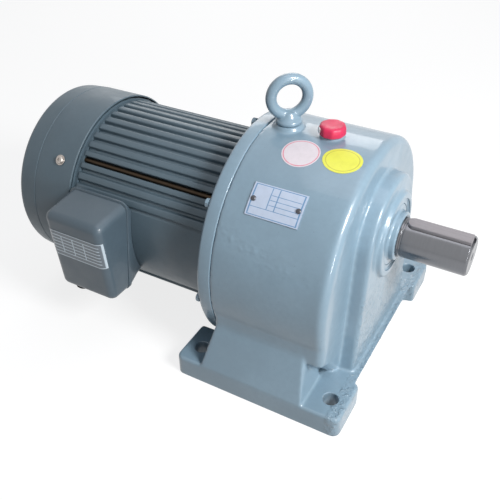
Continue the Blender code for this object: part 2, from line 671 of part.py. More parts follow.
def build_gear_case(palette):
    """Cast case: round body, foot, flares, tier and boss, hollow from the rear, with all its bores."""
    paint = palette["case_paint"]
    corner = CASE_EDGE_RADIUS
    edge = arc((CASE_LENGTH - corner, CASE_RADIUS - corner), corner, 90, 0, 3)
    profile = [(0.0, 0.0), (0.0, CASE_RADIUS)] + edge + [(CASE_LENGTH, 0.0)]
    case = turned("gear_case", profile, MOTOR_AXIS_Z, CASE_SEGMENTS, paint)
    wide = 2 * CASE_RADIUS
    outline = foot_outline()
    sections = [
        [(x, y, -2 * OVERCUT) for x, y in outline],
        [(x, y, FOOT_THICKNESS - FOOT_EDGE) for x, y in outline],
        [(x, y, FOOT_THICKNESS) for x, y in inset(outline, FOOT_EDGE * 0.8)],
    ]
    add(case, loft("foot", sections, paint))
    tier = [
        [(CASE_LENGTH - 6.0, y, z) for y, z in tier_outline(-1.5)],
        [(TIER_X - TIER_EDGE, y, z) for y, z in tier_outline(0.0)],
        [(TIER_X, y, z) for y, z in tier_outline(TIER_EDGE)],
    ]
    add(case, loft("tier", tier, paint))
    for side in (-1, 1):
        web = flare(side, paint)
        start = (-wide, 0.0, MOTOR_AXIS_Z)
        cut(web, rod("flange_room", start, (0.0, 0.0, MOTOR_AXIS_Z), CASE_RADIUS + FLANGE_ROOM, CASE_SEGMENTS, paint))
        add(case, web)
        add(case, side_wall(side, paint))
    cut(case, box("below", (-wide, -wide, -wide), (wide, wide, 0.0), paint))

    top_z = MOTOR_AXIS_Z + CASE_RADIUS
    root_z = top_z - CASE_WALL / 2
    for x, radius, height in (
        (EYE_X, EYE_SEAT_RADIUS, EYE_SEAT_HEIGHT),
        (FILLER_X, FILLER_SEAT_RADIUS, FILLER_SEAT_HEIGHT),
    ):
        seat = rod("seat", (x, 0, root_z), (x, 0, top_z + height), radius + 2.0, 20, paint, radius_end=radius)
        add(case, seat)

    boss = [
        (TIER_X - TIER_HEIGHT / 2, 0.0),
        (TIER_X - TIER_HEIGHT / 2, BOSS_RADIUS + 3.0),
        (TIER_X, BOSS_RADIUS + 2.0),
        (BOSS_X - 1.5, BOSS_RADIUS),
        (BOSS_X, BOSS_RADIUS - 1.5),
        (BOSS_X, BOSS_LIP_RADIUS),
        (BOSS_X - BOSS_LIP_DEPTH, BOSS_LIP_RADIUS - 1.0),
        (BOSS_X - BOSS_LIP_DEPTH, 0.0),
    ]
    add(case, turned("boss", boss, OUTPUT_AXIS_Z, FIT_SEGMENTS, paint))

    shoulder_x = CARRIER_FRONT_X + SEAT_GAP
    shoulder_radius = CAVITY_RADIUS - CARRIER_SHOULDER
    cavity = [
        (-OVERCUT, 0.0),
        (-OVERCUT, CAVITY_RADIUS),
        (shoulder_x, CAVITY_RADIUS),
        (shoulder_x, shoulder_radius),
        (CAVITY_FRONT_X - 6.0, shoulder_radius),
        (CAVITY_FRONT_X, shoulder_radius - 6.0),
        (CAVITY_FRONT_X, 0.0),
    ]
    hollow = turned("hollow", cavity, MOTOR_AXIS_Z, CASE_SEGMENTS, paint)
    cut(hollow, box("floor", (-wide, -wide, -wide), (wide, wide, CASE_FLOOR), paint))
    bearing_radius = INTERMEDIATE_BEARING[1] / 2
    bearing_rear_x = intermediate_front_bearing_x() - INTERMEDIATE_BEARING[2] / 2
    pocket_radius = bearing_radius + BEARING_WALL
    start = (bearing_rear_x, 0.0, INTERMEDIATE_AXIS_Z)
    end = (CAVITY_FRONT_X + OVERCUT, 0.0, INTERMEDIATE_AXIS_Z)
    cut(hollow, rod("pocket_wall", start, end, pocket_radius, PART_SEGMENTS, paint))
    for degrees in CARRIER_SCREW_ANGLES:
        y, z = polar(CARRIER_SCREW_CIRCLE, degrees)
        start = (shoulder_x, y, z)
        end = (shoulder_x + CARRIER_SCREW_GRIP + 6.0, y, z)
        cut(hollow, rod("lug", start, end, CARRIER_LUG_RADIUS, 16, paint))
    cut(case, hollow)

    front_bearing_x = output_front_bearing_x()
    width = OUTPUT_FRONT_BEARING[2]
    shoulder = front_bearing_x + width / 2 + SEAT_GAP
    seal_radius = SEAL_OUTER_DIAMETER / 2 + SEAT_GAP
    bores = [
        (CAVITY_FRONT_X - OVERCUT, 0.0),
        (CAVITY_FRONT_X - OVERCUT, OUTPUT_FRONT_BEARING[1] / 2 + SEAT_GAP),
        (shoulder, OUTPUT_FRONT_BEARING[1] / 2 + SEAT_GAP),
        (shoulder, seal_radius - 4.0),
        (BOSS_X - BOSS_LIP_DEPTH - SEAL_DEPTH, seal_radius - 4.0),
        (BOSS_X - BOSS_LIP_DEPTH - SEAL_DEPTH, seal_radius),
        (BOSS_X + OVERCUT, seal_radius),
        (BOSS_X + OVERCUT, 0.0),
    ]
    cut(case, turned("bores", bores, OUTPUT_AXIS_Z, FIT_SEGMENTS, paint))
    start = (bearing_rear_x - OVERCUT, 0.0, INTERMEDIATE_AXIS_Z)
    end = (bearing_rear_x + INTERMEDIATE_BEARING[2] + SEAT_GAP, 0.0, INTERMEDIATE_AXIS_Z)
    cut(case, rod("pocket", start, end, bearing_radius + SEAT_GAP, PART_SEGMENTS, paint))

    for x in (FRONT_HOLE_X, REAR_HOLE_X):
        for y in (-HOLE_PITCH_Y / 2, HOLE_PITCH_Y / 2):
            hole = rod("hole", (x, y, -OVERCUT), (x, y, FOOT_THICKNESS + OVERCUT), HOLE_DIAMETER / 2, 16, paint)
            cut(case, hole)
    for x, radius, height, length in (
        (EYE_X, EYE_SHANK_RADIUS, EYE_SEAT_HEIGHT, EYE_SHANK_LENGTH),
        (FILLER_X, FILLER_STEM_RADIUS, FILLER_SEAT_HEIGHT, FILLER_STEM_LENGTH),
    ):
        seat_z = top_z + height
        start = (x, 0.0, seat_z - length - 2 * SEAT_GAP)
        cut(case, rod("hole", start, (x, 0.0, seat_z + OVERCUT), radius + SEAT_GAP, 16, paint))
    for degrees in flange_bolt_angles():
        y, z = polar(FLANGE_BOLT_CIRCLE, degrees)
        end = (FLANGE_BOLT_GRIP + 1.0, y, z)
        cut(case, rod("hole", (-OVERCUT, y, z), end, FLANGE_BOLT_RADIUS + SEAT_GAP, SMALL_SEGMENTS, paint))
    for degrees in CARRIER_SCREW_ANGLES:
        y, z = polar(CARRIER_SCREW_CIRCLE, degrees)
        start = (shoulder_x - OVERCUT, y, z)
        end = (shoulder_x + CARRIER_SCREW_GRIP + 1.0, y, z)
        cut(case, rod("hole", start, end, CARRIER_SCREW_RADIUS + SEAT_GAP, SMALL_SEGMENTS, paint))
    for x in plate_rivet_places():
        y, z = polar(CASE_RADIUS - PLATE_RIVET_LENGTH - 1.0, PLATE_ANGLE)
        far_y, far_z = polar(CASE_RADIUS + OVERCUT, PLATE_ANGLE)
        cut(case, rod("hole", (x, y, z), (x, far_y, far_z), PLATE_RIVET_RADIUS + SEAT_GAP, 8, paint))
    return case


def flange_bolt_angles():
    """Angles of the flange bolts, spread from the top down both sides."""
    first = -(FLANGE_BOLT_COUNT - 1) / 2
    step = math.degrees(FLANGE_BOLT_STEP)
    return [90.0 + (first + index) * step for index in range(FLANGE_BOLT_COUNT)]


def plate_rivet_places():
    """X of the two nameplate rivets."""
    reach = PLATE_LENGTH / 2 - PLATE_RIVET_INSET
    return [PLATE_X - reach, PLATE_X + reach]


def output_front_bearing_x():
    """Centre of the output shaft's front bearing, in the front wall."""
    return CAVITY_FRONT_X + 1.0 + OUTPUT_FRONT_BEARING[2] / 2


def output_rear_bearing_x():
    """Centre of the output shaft's rear bearing, in the carrier plate."""
    return CARRIER_REAR_X + CARRIER_THICKNESS / 2


def intermediate_front_bearing_x():
    """Centre of the intermediate shaft's front bearing, in its pocket on the front wall."""
    return CAVITY_FRONT_X + 2.0 - INTERMEDIATE_BEARING[2] / 2


def intermediate_rear_bearing_x():
    """Centre of the intermediate shaft's rear bearing, in the flange."""
    return FLANGE_SPIGOT_LENGTH - INTERMEDIATE_BEARING[2] / 2


def motor_front_bearing_x():
    """Centre of the motor's front bearing, in the hub behind the flange."""
    return FLANGE_REAR_X - MOTOR_HUB_LENGTH + MOTOR_BEARING[2] / 2 + 1.0


def motor_rear_bearing_x():
    """Centre of the motor's rear bearing, in the end shield's hub."""
    return SHIELD_REAR_X - MOTOR_REAR_BEARING[2] / 2 + SHIELD_RIM_THICKNESS / 2


def corner_angles(from_horizontal):
    """Four angles placed alike in the four quarters."""
    return [from_horizontal, 180.0 - from_horizontal, 180.0 + from_horizontal, 360.0 - from_horizontal]


def build_motor_flange(palette):
    """Motor's front bracket: the disc on the case, its spigots and the bearing seats on both sides."""
    paint = palette["case_paint"]
    front = -SEAT_GAP
    spigot = CAVITY_RADIUS - SEAT_GAP
    frame_spigot = STATOR_RADIUS
    hub_radius = MOTOR_BEARING[1] / 2 + BEARING_WALL
    hub_rear = FLANGE_REAR_X - MOTOR_HUB_LENGTH
    profile = [
        (hub_rear, 0.0),
        (hub_rear, hub_radius - 2.0),
        (hub_rear + 2.0, hub_radius),
        (FLANGE_REAR_X, hub_radius + 2.0),
        (FLANGE_REAR_X, frame_spigot - 8.0),
        (FLANGE_REAR_X - 6.0, frame_spigot - 8.0),
        (FLANGE_REAR_X - 6.0, frame_spigot),
        (FLANGE_REAR_X, frame_spigot),
        (FLANGE_REAR_X, CASE_RADIUS - 3.0),
        (FLANGE_REAR_X + 3.0, CASE_RADIUS),
        (front, CASE_RADIUS),
        (front, spigot),
        (FLANGE_SPIGOT_LENGTH, spigot),
        (FLANGE_SPIGOT_LENGTH, spigot - FLANGE_SPIGOT_WALL),
        (front, spigot - FLANGE_SPIGOT_WALL),
        (front, 0.0),
    ]
    flange = turned("motor_flange", profile, MOTOR_AXIS_Z, CASE_SEGMENTS, paint)
    wide = 2 * CASE_RADIUS
    cut(flange, box("below", (-wide, -wide, -wide), (wide, wide, FLANGE_FLAT_Z), paint))
    cut(flange, box("below", (front, -wide, -wide), (wide, wide, CASE_FLOOR + SEAT_GAP), paint))

    bearing_radius = INTERMEDIATE_BEARING[1] / 2
    centre = intermediate_rear_bearing_x()
    half = INTERMEDIATE_BEARING[2] / 2
    low = (front - 2.0, 0.0, INTERMEDIATE_AXIS_Z)
    high = (centre + half, 0.0, INTERMEDIATE_AXIS_Z)
    add(flange, rod("pocket_wall", low, high, bearing_radius + BEARING_WALL, PART_SEGMENTS, paint))
    low = (centre - half - SEAT_GAP, 0.0, INTERMEDIATE_AXIS_Z)
    high = (centre + half + OVERCUT, 0.0, INTERMEDIATE_AXIS_Z)
    cut(flange, rod("pocket", low, high, bearing_radius + SEAT_GAP, PART_SEGMENTS, paint))

    centre = motor_front_bearing_x()
    half = MOTOR_BEARING[2] / 2
    seal_rear = motor_seal_x() - MOTOR_SEAL_WIDTH / 2 - SEAT_GAP
    bores = [
        (hub_rear - OVERCUT, 0.0),
        (hub_rear - OVERCUT, MOTOR_BEARING[1] / 2 + SEAT_GAP),
        (centre + half + SEAT_GAP, MOTOR_BEARING[1] / 2 + SEAT_GAP),
        (centre + half + SEAT_GAP, MOTOR_SEAL_OUTER_RADIUS - 3.0),
        (seal_rear, MOTOR_SEAL_OUTER_RADIUS - 3.0),
        (seal_rear, MOTOR_SEAL_OUTER_RADIUS + SEAT_GAP),
        (front + OVERCUT, MOTOR_SEAL_OUTER_RADIUS + SEAT_GAP),
        (front + OVERCUT, 0.0),
    ]
    cut(flange, turned("bores", bores, MOTOR_AXIS_Z, PART_SEGMENTS, paint))
    for degrees in flange_bolt_angles():
        y, z = polar(FLANGE_BOLT_CIRCLE, degrees)
        start = (FLANGE_REAR_X - OVERCUT, y, z)
        cut(flange, rod("hole", start, (OVERCUT, y, z), FLANGE_BOLT_RADIUS + SEAT_GAP, SMALL_SEGMENTS, paint))
    for degrees in corner_angles(TIE_ROD_ANGLE):
        y, z = polar(TIE_ROD_CIRCLE, degrees)
        start = (FLANGE_REAR_X - OVERCUT, y, z)
        end = (FLANGE_REAR_X + TIE_ROD_THREAD + 1.0, y, z)
        cut(flange, rod("hole", start, end, TIE_ROD_RADIUS + SEAT_GAP, SMALL_SEGMENTS, paint))
    return flange


def motor_seal_x():
    """Centre of the seal that keeps the gear oil out of the motor."""
    return -SEAT_GAP - MOTOR_SEAL_WIDTH / 2 - 1.5


def build_flange_bolts(palette):
    """Bolts from behind the flange into the wall of the case."""
    for index, degrees in enumerate(flange_bolt_angles(), start=1):
        hex_bolt(
            f"flange_bolt_{index}",
            FLANGE_REAR_X - SEAT_GAP,
            polar(FLANGE_BOLT_CIRCLE, degrees),
            FLANGE_BOLT_HEAD_RADIUS,
            FLANGE_BOLT_HEAD_HEIGHT,
            FLANGE_BOLT_RADIUS,
            FLANGE_THICKNESS + FLANGE_BOLT_GRIP,
            palette["zinc_steel"],
        )


def build_carrier(palette):
    """Plate inside the case that holds the output shaft's rear bearing, with its screws."""
    iron = palette["cast_iron"]
    radius = CAVITY_RADIUS - SEAT_GAP
    profile = [
        (CARRIER_REAR_X, 0.0),
        (CARRIER_REAR_X, radius - 2.0),
        (CARRIER_REAR_X + 2.0, radius),
        (CARRIER_FRONT_X, radius),
        (CARRIER_FRONT_X, 0.0),
    ]
    carrier = turned("bearing_carrier", profile, MOTOR_AXIS_Z, CASE_SEGMENTS, iron)
    wide = 2 * CASE_RADIUS
    cut(carrier, box("below", (-wide, -wide, -wide), (wide, wide, CASE_FLOOR + SEAT_GAP), iron))
    centre = output_rear_bearing_x()
    half = OUTPUT_REAR_BEARING[2] / 2
    outer = OUTPUT_REAR_BEARING[1] / 2
    bores = [
        (CARRIER_REAR_X - OVERCUT, 0.0),
        (CARRIER_REAR_X - OVERCUT, outer + SEAT_GAP),
        (centre + half + SEAT_GAP, outer + SEAT_GAP),
        (CARRIER_FRONT_X + OVERCUT, outer + SEAT_GAP),
        (CARRIER_FRONT_X + OVERCUT, 0.0),
    ]
    cut(carrier, turned("bore", bores, OUTPUT_AXIS_Z, PART_SEGMENTS, iron))
    start = (CARRIER_REAR_X - OVERCUT, 0.0, INTERMEDIATE_AXIS_Z)
    end = (CARRIER_FRONT_X + OVERCUT, 0.0, INTERMEDIATE_AXIS_Z)
    cut(carrier, rod("passage", start, end, CARRIER_PASSAGE_RADIUS, PART_SEGMENTS, iron))
    for side in (-1, 1):
        y = side * (OUTPUT_REAR_BEARING[1] / 2 + 42.0)
        start = (CARRIER_REAR_X - OVERCUT, y, MOTOR_AXIS_Z)
        end = (CARRIER_FRONT_X + OVERCUT, y, MOTOR_AXIS_Z)
        cut(carrier, rod("lightening", start, end, 22.0, 20, iron))
    for index, degrees in enumerate(CARRIER_SCREW_ANGLES, start=1):
        place = polar(CARRIER_SCREW_CIRCLE, degrees)
        start = (CARRIER_REAR_X - OVERCUT, *place)
        end = (CARRIER_FRONT_X + OVERCUT, *place)
        cut(carrier, rod("hole", start, end, CARRIER_SCREW_RADIUS + SEAT_GAP, SMALL_SEGMENTS, iron))
        hex_bolt(
            f"carrier_screw_{index}",
            CARRIER_REAR_X - SEAT_GAP,
            place,
            CARRIER_SCREW_HEAD_RADIUS,
            CARRIER_SCREW_HEAD_HEIGHT,
            CARRIER_SCREW_RADIUS,
            CARRIER_THICKNESS + CARRIER_SCREW_GRIP,
            palette["zinc_steel"],
        )
    return carrier


def build_output_group(palette):
    """Output shaft with its two keys, gear, circlip, bearings and oil seal."""
    steel = palette["shaft_steel"]
    radius = SHAFT_DIAMETER / 2
    front_seat = OUTPUT_FRONT_BEARING[0] / 2
    rear_seat = OUTPUT_REAR_BEARING[0] / 2
    front_x = output_front_bearing_x()
    front_half = OUTPUT_FRONT_BEARING[2] / 2
    rear_x = output_rear_bearing_x()
    rear_half = OUTPUT_REAR_BEARING[2] / 2
    gear_end = STAGE_2_X + STAGE_2_WIDTH
    profile = [
        (rear_x - rear_half, 0.0),
        (rear_x - rear_half, rear_seat - 1.0),
        (rear_x - rear_half + 1.0, rear_seat),
        (rear_x + rear_half + SEAT_GAP, rear_seat),
        (rear_x + rear_half + SEAT_GAP, OUTPUT_GEAR_SEAT_RADIUS),
        (gear_end + SEAT_GAP, OUTPUT_GEAR_SEAT_RADIUS),
        (gear_end + SEAT_GAP, OUTPUT_SHOULDER_RADIUS),
        (front_x - front_half - SEAT_GAP, OUTPUT_SHOULDER_RADIUS),
        (front_x - front_half - SEAT_GAP, front_seat),
        (front_x + front_half + SEAT_GAP, front_seat),
        (front_x + front_half + SEAT_GAP, radius),
        (SHAFT_TIP_X - SHAFT_CHAMFER, radius),
        (SHAFT_TIP_X, radius - SHAFT_CHAMFER),
        (SHAFT_TIP_X, 0.0),
    ]
    shaft = turned("output_shaft", profile, OUTPUT_AXIS_Z, FIT_SEGMENTS, steel)

    def turn(item, angle):
        centre = Matrix.Translation((0.0, 0.0, OUTPUT_AXIS_Z * MM))
        item.data.transform(centre @ Matrix.Rotation(angle, 4, "X") @ centre.inverted())
        return item

    def key_shape(name, start_x, end_x, low, high, width, round_end):
        half = width / 2
        outline = arc((start_x + half, 0.0), half, 90, 270, 6)
        outline += arc((end_x - half, 0.0), half, -90, 90, 6) if round_end else [(end_x, -half), (end_x, half)]
        return prism_z(name, outline, OUTPUT_AXIS_Z + low, OUTPUT_AXIS_Z + high, steel)

    seat = radius - KEY_SEAT_DEPTH
    slot = key_shape("slot", KEY_START_X - SEAT_GAP, SHAFT_TIP_X + KEY_WIDTH, seat - SEAT_GAP, radius + OVERCUT,
                     KEY_WIDTH + 2 * SEAT_GAP, False)
    cut(shaft, turn(slot, KEY_TURN))
    key_end = SHAFT_TIP_X - KEY_END_MARGIN
    turn(key_shape("output_key", KEY_START_X, key_end, seat, seat + KEY_HEIGHT, KEY_WIDTH, False), KEY_TURN)

    seat = OUTPUT_GEAR_SEAT_RADIUS - KEY_SEAT_DEPTH
    low = STAGE_2_X + 2.0
    high = gear_end - 1.0
    slot = key_shape("slot", low - SEAT_GAP, high + SEAT_GAP, seat - SEAT_GAP, OUTPUT_GEAR_SEAT_RADIUS + OVERCUT,
                     KEY_WIDTH + 2 * SEAT_GAP, True)
    cut(shaft, slot)
    key_shape("output_gear_key", low, high, seat, seat + KEY_HEIGHT, KEY_WIDTH, True)

    first = 1.5 * math.pi + math.pi / OUTPUT_GEAR_TEETH
    outline = gear_outline(OUTPUT_GEAR_TEETH, MODULE_2, first, OUTPUT_AXIS_Z)
    gear = prism_x("output_gear", outline, STAGE_2_X, gear_end, palette["gear_steel"])
    bore = OUTPUT_GEAR_SEAT_RADIUS + SEAT_GAP
    trim_gear(gear, MODULE_2 * OUTPUT_GEAR_TEETH / 2, bore, STAGE_2_X, gear_end, OUTPUT_AXIS_Z)
    keyway = (STAGE_2_X - OVERCUT, -KEY_WIDTH / 2 - SEAT_GAP, OUTPUT_AXIS_Z)
    keyway_end = (gear_end + OVERCUT, KEY_WIDTH / 2 + SEAT_GAP, OUTPUT_AXIS_Z + seat + KEY_HEIGHT + SEAT_GAP)
    cut(gear, box("keyway", keyway, keyway_end, steel))

    bearing = palette["bearing_steel"]
    ball_bearing("output_front_bearing", OUTPUT_FRONT_BEARING, front_x, OUTPUT_AXIS_Z, bearing)
    ball_bearing("output_rear_bearing", OUTPUT_REAR_BEARING, rear_x, OUTPUT_AXIS_Z, bearing)

    outer = SEAL_OUTER_DIAMETER / 2
    face_x = BOSS_X - BOSS_LIP_DEPTH
    low = face_x - SEAL_DEPTH + SEAT_GAP
    inner = radius + SEAT_GAP
    seal = [
        (low, inner),
        (low, outer),
        (face_x - 1.0, outer),
        (face_x, outer - 1.0),
        (face_x, SEAL_NOSE_RADIUS),
        (face_x + SEAL_NOSE_LENGTH - 1.5, SEAL_NOSE_RADIUS - 0.5),
        (face_x + SEAL_NOSE_LENGTH, SEAL_NOSE_RADIUS - 2.0),
        (face_x + SEAL_NOSE_LENGTH, inner),
    ]
    turned("oil_seal", seal, OUTPUT_AXIS_Z, FIT_SEGMENTS, palette["case_paint"], closed=True)
    return shaft


def trim_gear(gear, pitch_radius, bore_radius, low_x, high_x, axis_z):
    """Bore a gear and recess its web on both sides."""
    start = (low_x - OVERCUT, 0.0, axis_z)
    end = (high_x + OVERCUT, 0.0, axis_z)
    steel = gear.data.materials[0]
    cut(gear, rod("bore", start, end, bore_radius, PART_SEGMENTS, steel))
    inner = bore_radius + GEAR_HUB_WALL
    outer = pitch_radius - GEAR_RIM
    for face_x, direction in ((low_x, -1), (high_x, 1)):
        ring = [
            (face_x + direction * OVERCUT, inner),
            (face_x + direction * OVERCUT, outer),
            (face_x - direction * GEAR_WEB_RECESS, outer - 1.0),
            (face_x - direction * GEAR_WEB_RECESS, inner + 1.0),
        ]
        cut(gear, turned("recess", ring, axis_z, RECESS_SEGMENTS, steel, closed=True))


def build_intermediate_group(palette):
    """Intermediate shaft with its pinion, gear and bearings."""
    steel = palette["gear_steel"]
    seat = INTERMEDIATE_BEARING[0] / 2
    half = INTERMEDIATE_BEARING[2] / 2
    rear_x = intermediate_rear_bearing_x()
    front_x = intermediate_front_bearing_x()
    gear_end = STAGE_1_X + STAGE_1_WIDTH
    pinion_low = STAGE_2_X - PINION_OVERWIDTH
    pinion_high = STAGE_2_X + STAGE_2_WIDTH + PINION_OVERWIDTH
    profile = [
        (rear_x - half, 0.0),
        (rear_x - half, seat),
        (rear_x + half + SEAT_GAP, seat),
        (rear_x + half + SEAT_GAP, INTERMEDIATE_GEAR_SEAT_RADIUS),
        (gear_end + SEAT_GAP, INTERMEDIATE_GEAR_SEAT_RADIUS),
        (gear_end + SEAT_GAP, INTERMEDIATE_SHOULDER_RADIUS),
        (pinion_low + 3.0, INTERMEDIATE_SHOULDER_RADIUS),
        (pinion_high - 3.0, INTERMEDIATE_GEAR_SEAT_RADIUS),
        (front_x - half - SEAT_GAP, INTERMEDIATE_GEAR_SEAT_RADIUS),
        (front_x - half - SEAT_GAP, seat),
        (front_x + half, seat),
        (front_x + half, 0.0),
    ]
    shaft = turned("intermediate_shaft", profile, INTERMEDIATE_AXIS_Z, 24, steel)
    outline = gear_outline(INTERMEDIATE_PINION_TEETH, MODULE_2, math.pi / 2, INTERMEDIATE_AXIS_Z)
    add(shaft, prism_x("pinion", outline, pinion_low, pinion_high, steel))
    outline = gear_outline(INTERMEDIATE_GEAR_TEETH, MODULE_1, math.pi / 2, INTERMEDIATE_AXIS_Z)
    gear = prism_x("intermediate_gear", outline, STAGE_1_X, gear_end, steel)
    bore = INTERMEDIATE_GEAR_SEAT_RADIUS + SEAT_GAP
    trim_gear(gear, MODULE_1 * INTERMEDIATE_GEAR_TEETH / 2, bore, STAGE_1_X, gear_end, INTERMEDIATE_AXIS_Z)
    bearing = palette["bearing_steel"]
    ball_bearing("intermediate_rear_bearing", INTERMEDIATE_BEARING, rear_x, INTERMEDIATE_AXIS_Z, bearing)
    ball_bearing("intermediate_front_bearing", INTERMEDIATE_BEARING, front_x, INTERMEDIATE_AXIS_Z, bearing)
    return shaft


def build_rotor_group(palette):
    """Motor shaft with its cut pinion, rotor core, bearings, seal, fan and the fan's circlip."""
    steel = palette["gear_steel"]
    front_x = motor_front_bearing_x()
    front_half = MOTOR_BEARING[2] / 2
    rear_x = motor_rear_bearing_x()
    rear_half = MOTOR_REAR_BEARING[2] / 2
    pinion_low = STAGE_1_X - PINION_OVERWIDTH
    pinion_high = STAGE_1_X + STAGE_1_WIDTH + PINION_OVERWIDTH
    root = MODULE_1 * (MOTOR_PINION_TEETH / 2 - DEDENDUM_SHARE)
    fan_rear_x = FAN_FRONT_X - FAN_BLADE_WIDTH
    clip_x = fan_rear_x - SEAT_GAP
    shaft_end_x = clip_x - CIRCLIP_THICKNESS - 2 * SEAT_GAP - 2.0
    groove = FAN_SHAFT_RADIUS - CIRCLIP_DEPTH
    profile = [
        (shaft_end_x, 0.0),
        (shaft_end_x, FAN_SHAFT_RADIUS),
        (clip_x - CIRCLIP_THICKNESS - SEAT_GAP, FAN_SHAFT_RADIUS),
        (clip_x - CIRCLIP_THICKNESS - SEAT_GAP, groove),
        (clip_x + SEAT_GAP / 2, groove),
        (clip_x + SEAT_GAP / 2, FAN_SHAFT_RADIUS),
        (rear_x - rear_half - SEAT_GAP, FAN_SHAFT_RADIUS),
        (rear_x - rear_half - SEAT_GAP, MOTOR_REAR_BEARING[0] / 2),
        (rear_x + rear_half + SEAT_GAP, MOTOR_REAR_BEARING[0] / 2),
        (rear_x + rear_half + SEAT_GAP, MOTOR_SHAFT_RADIUS),
        (front_x - front_half - SEAT_GAP, MOTOR_SHAFT_RADIUS),
        (front_x - front_half - SEAT_GAP, MOTOR_BEARING[0] / 2),
        (front_x + front_half + SEAT_GAP, MOTOR_BEARING[0] / 2),
        (front_x + front_half + SEAT_GAP, MOTOR_SEAL_RADIUS),
        (pinion_low - 1.0, MOTOR_SEAL_RADIUS),
        (pinion_low + 3.0, root - 0.5),
        (pinion_high - 3.0, root - 0.5),
        (pinion_high - 3.0, 0.0),
    ]
    shaft = turned("motor_shaft", profile, MOTOR_AXIS_Z, 24, steel)
    first = 1.5 * math.pi + math.pi / MOTOR_PINION_TEETH
    outline = gear_outline(MOTOR_PINION_TEETH, MODULE_1, first, MOTOR_AXIS_Z)
    add(shaft, prism_x("pinion", outline, pinion_low, pinion_high, steel))

    core_front = FRAME_FRONT_X - STATOR_START
    core_rear = core_front - STATOR_LENGTH
    rotor_radius = STATOR_BORE_RADIUS - AIR_GAP
    ring_radius = rotor_radius - 6.0
    bore = MOTOR_SHAFT_RADIUS + SEAT_GAP
    rotor = [
        (core_rear - 9.0, bore + 12.0),
        (core_rear - 9.0, ring_radius),
        (core_rear, ring_radius),
        (core_rear, rotor_radius),
        (core_front, rotor_radius),
        (core_front, ring_radius),
        (core_front + 9.0, ring_radius),
        (core_front + 9.0, bore + 12.0),
        (core_front, bore + 12.0),
        (core_front, bore),
        (core_rear, bore),
        (core_rear, bore + 12.0),
    ]
    turned("rotor_core", rotor, MOTOR_AXIS_Z, PART_SEGMENTS, palette["core_steel"], closed=True)
    bearing = palette["bearing_steel"]
    ball_bearing("motor_front_bearing", MOTOR_BEARING, front_x, MOTOR_AXIS_Z, bearing)
    ball_bearing("motor_rear_bearing", MOTOR_REAR_BEARING, rear_x, MOTOR_AXIS_Z, bearing)

    seal_x = motor_seal_x()
    half = MOTOR_SEAL_WIDTH / 2
    seal = [
        (seal_x - half, MOTOR_SEAL_RADIUS + SEAT_GAP),
        (seal_x - half, MOTOR_SEAL_OUTER_RADIUS),
        (seal_x + half, MOTOR_SEAL_OUTER_RADIUS),
        (seal_x + half, MOTOR_SEAL_OUTER_RADIUS - 3.0),
        (seal_x - half + 2.5, MOTOR_SEAL_OUTER_RADIUS - 3.0),
        (seal_x + half - 1.5, MOTOR_SEAL_RADIUS + SEAT_GAP),
    ]
    turned("motor_oil_seal", seal, MOTOR_AXIS_Z, PART_SEGMENTS, palette["rubber"], closed=True)
    build_fan(palette, fan_rear_x)
    clip_inner = groove + SEAT_GAP
    clip = [
        (clip_x - CIRCLIP_THICKNESS, clip_inner),
        (clip_x - CIRCLIP_THICKNESS, FAN_SHAFT_RADIUS + CIRCLIP_HEIGHT),
        (clip_x, FAN_SHAFT_RADIUS + CIRCLIP_HEIGHT),
        (clip_x, clip_inner),
    ]
    turned("fan_circlip", clip, MOTOR_AXIS_Z, 20, palette["zinc_steel"], closed=True)
    return shaft


def build_fan(palette, rear_x):
    """Radial fan: hub, carrying disc and straight blades that rise to the rim."""
    plastic = palette["fan_plastic"]
    bore = FAN_SHAFT_RADIUS + SEAT_GAP
    disc_front = FAN_FRONT_X
    profile = [
        (rear_x, bore),
        (rear_x, FAN_HUB_RADIUS),
        (disc_front - FAN_DISC_THICKNESS, FAN_HUB_RADIUS + 2.0),
        (disc_front - FAN_DISC_THICKNESS, FAN_DISC_RADIUS),
        (disc_front, FAN_DISC_RADIUS),
        (disc_front, bore),
    ]
    fan = turned("cooling_fan", profile, MOTOR_AXIS_Z, 24, plastic, closed=True)
    half = FAN_BLADE_THICKNESS / 2
    inner = FAN_HUB_RADIUS - 2.0
    for index in range(FAN_BLADE_COUNT):
        side_view = [
            (rear_x + 1.0, inner),
            (rear_x + 1.0, FAN_RADIUS - 10.0),
            (rear_x + 8.0, FAN_RADIUS),
            (disc_front - 1.0, FAN_RADIUS),
            (disc_front - 1.0, inner),
        ]
        sections = [[(x, offset, radius) for x, radius in side_view] for offset in (-half, half)]
        blade = loft("blade", sections, plastic)
        turn = Matrix.Rotation(2 * math.pi * (index + 0.5) / FAN_BLADE_COUNT, 4, "X")
        blade.data.transform(Matrix.Translation((0.0, 0.0, MOTOR_AXIS_Z * MM)) @ turn)
        add(fan, blade)
    return fan


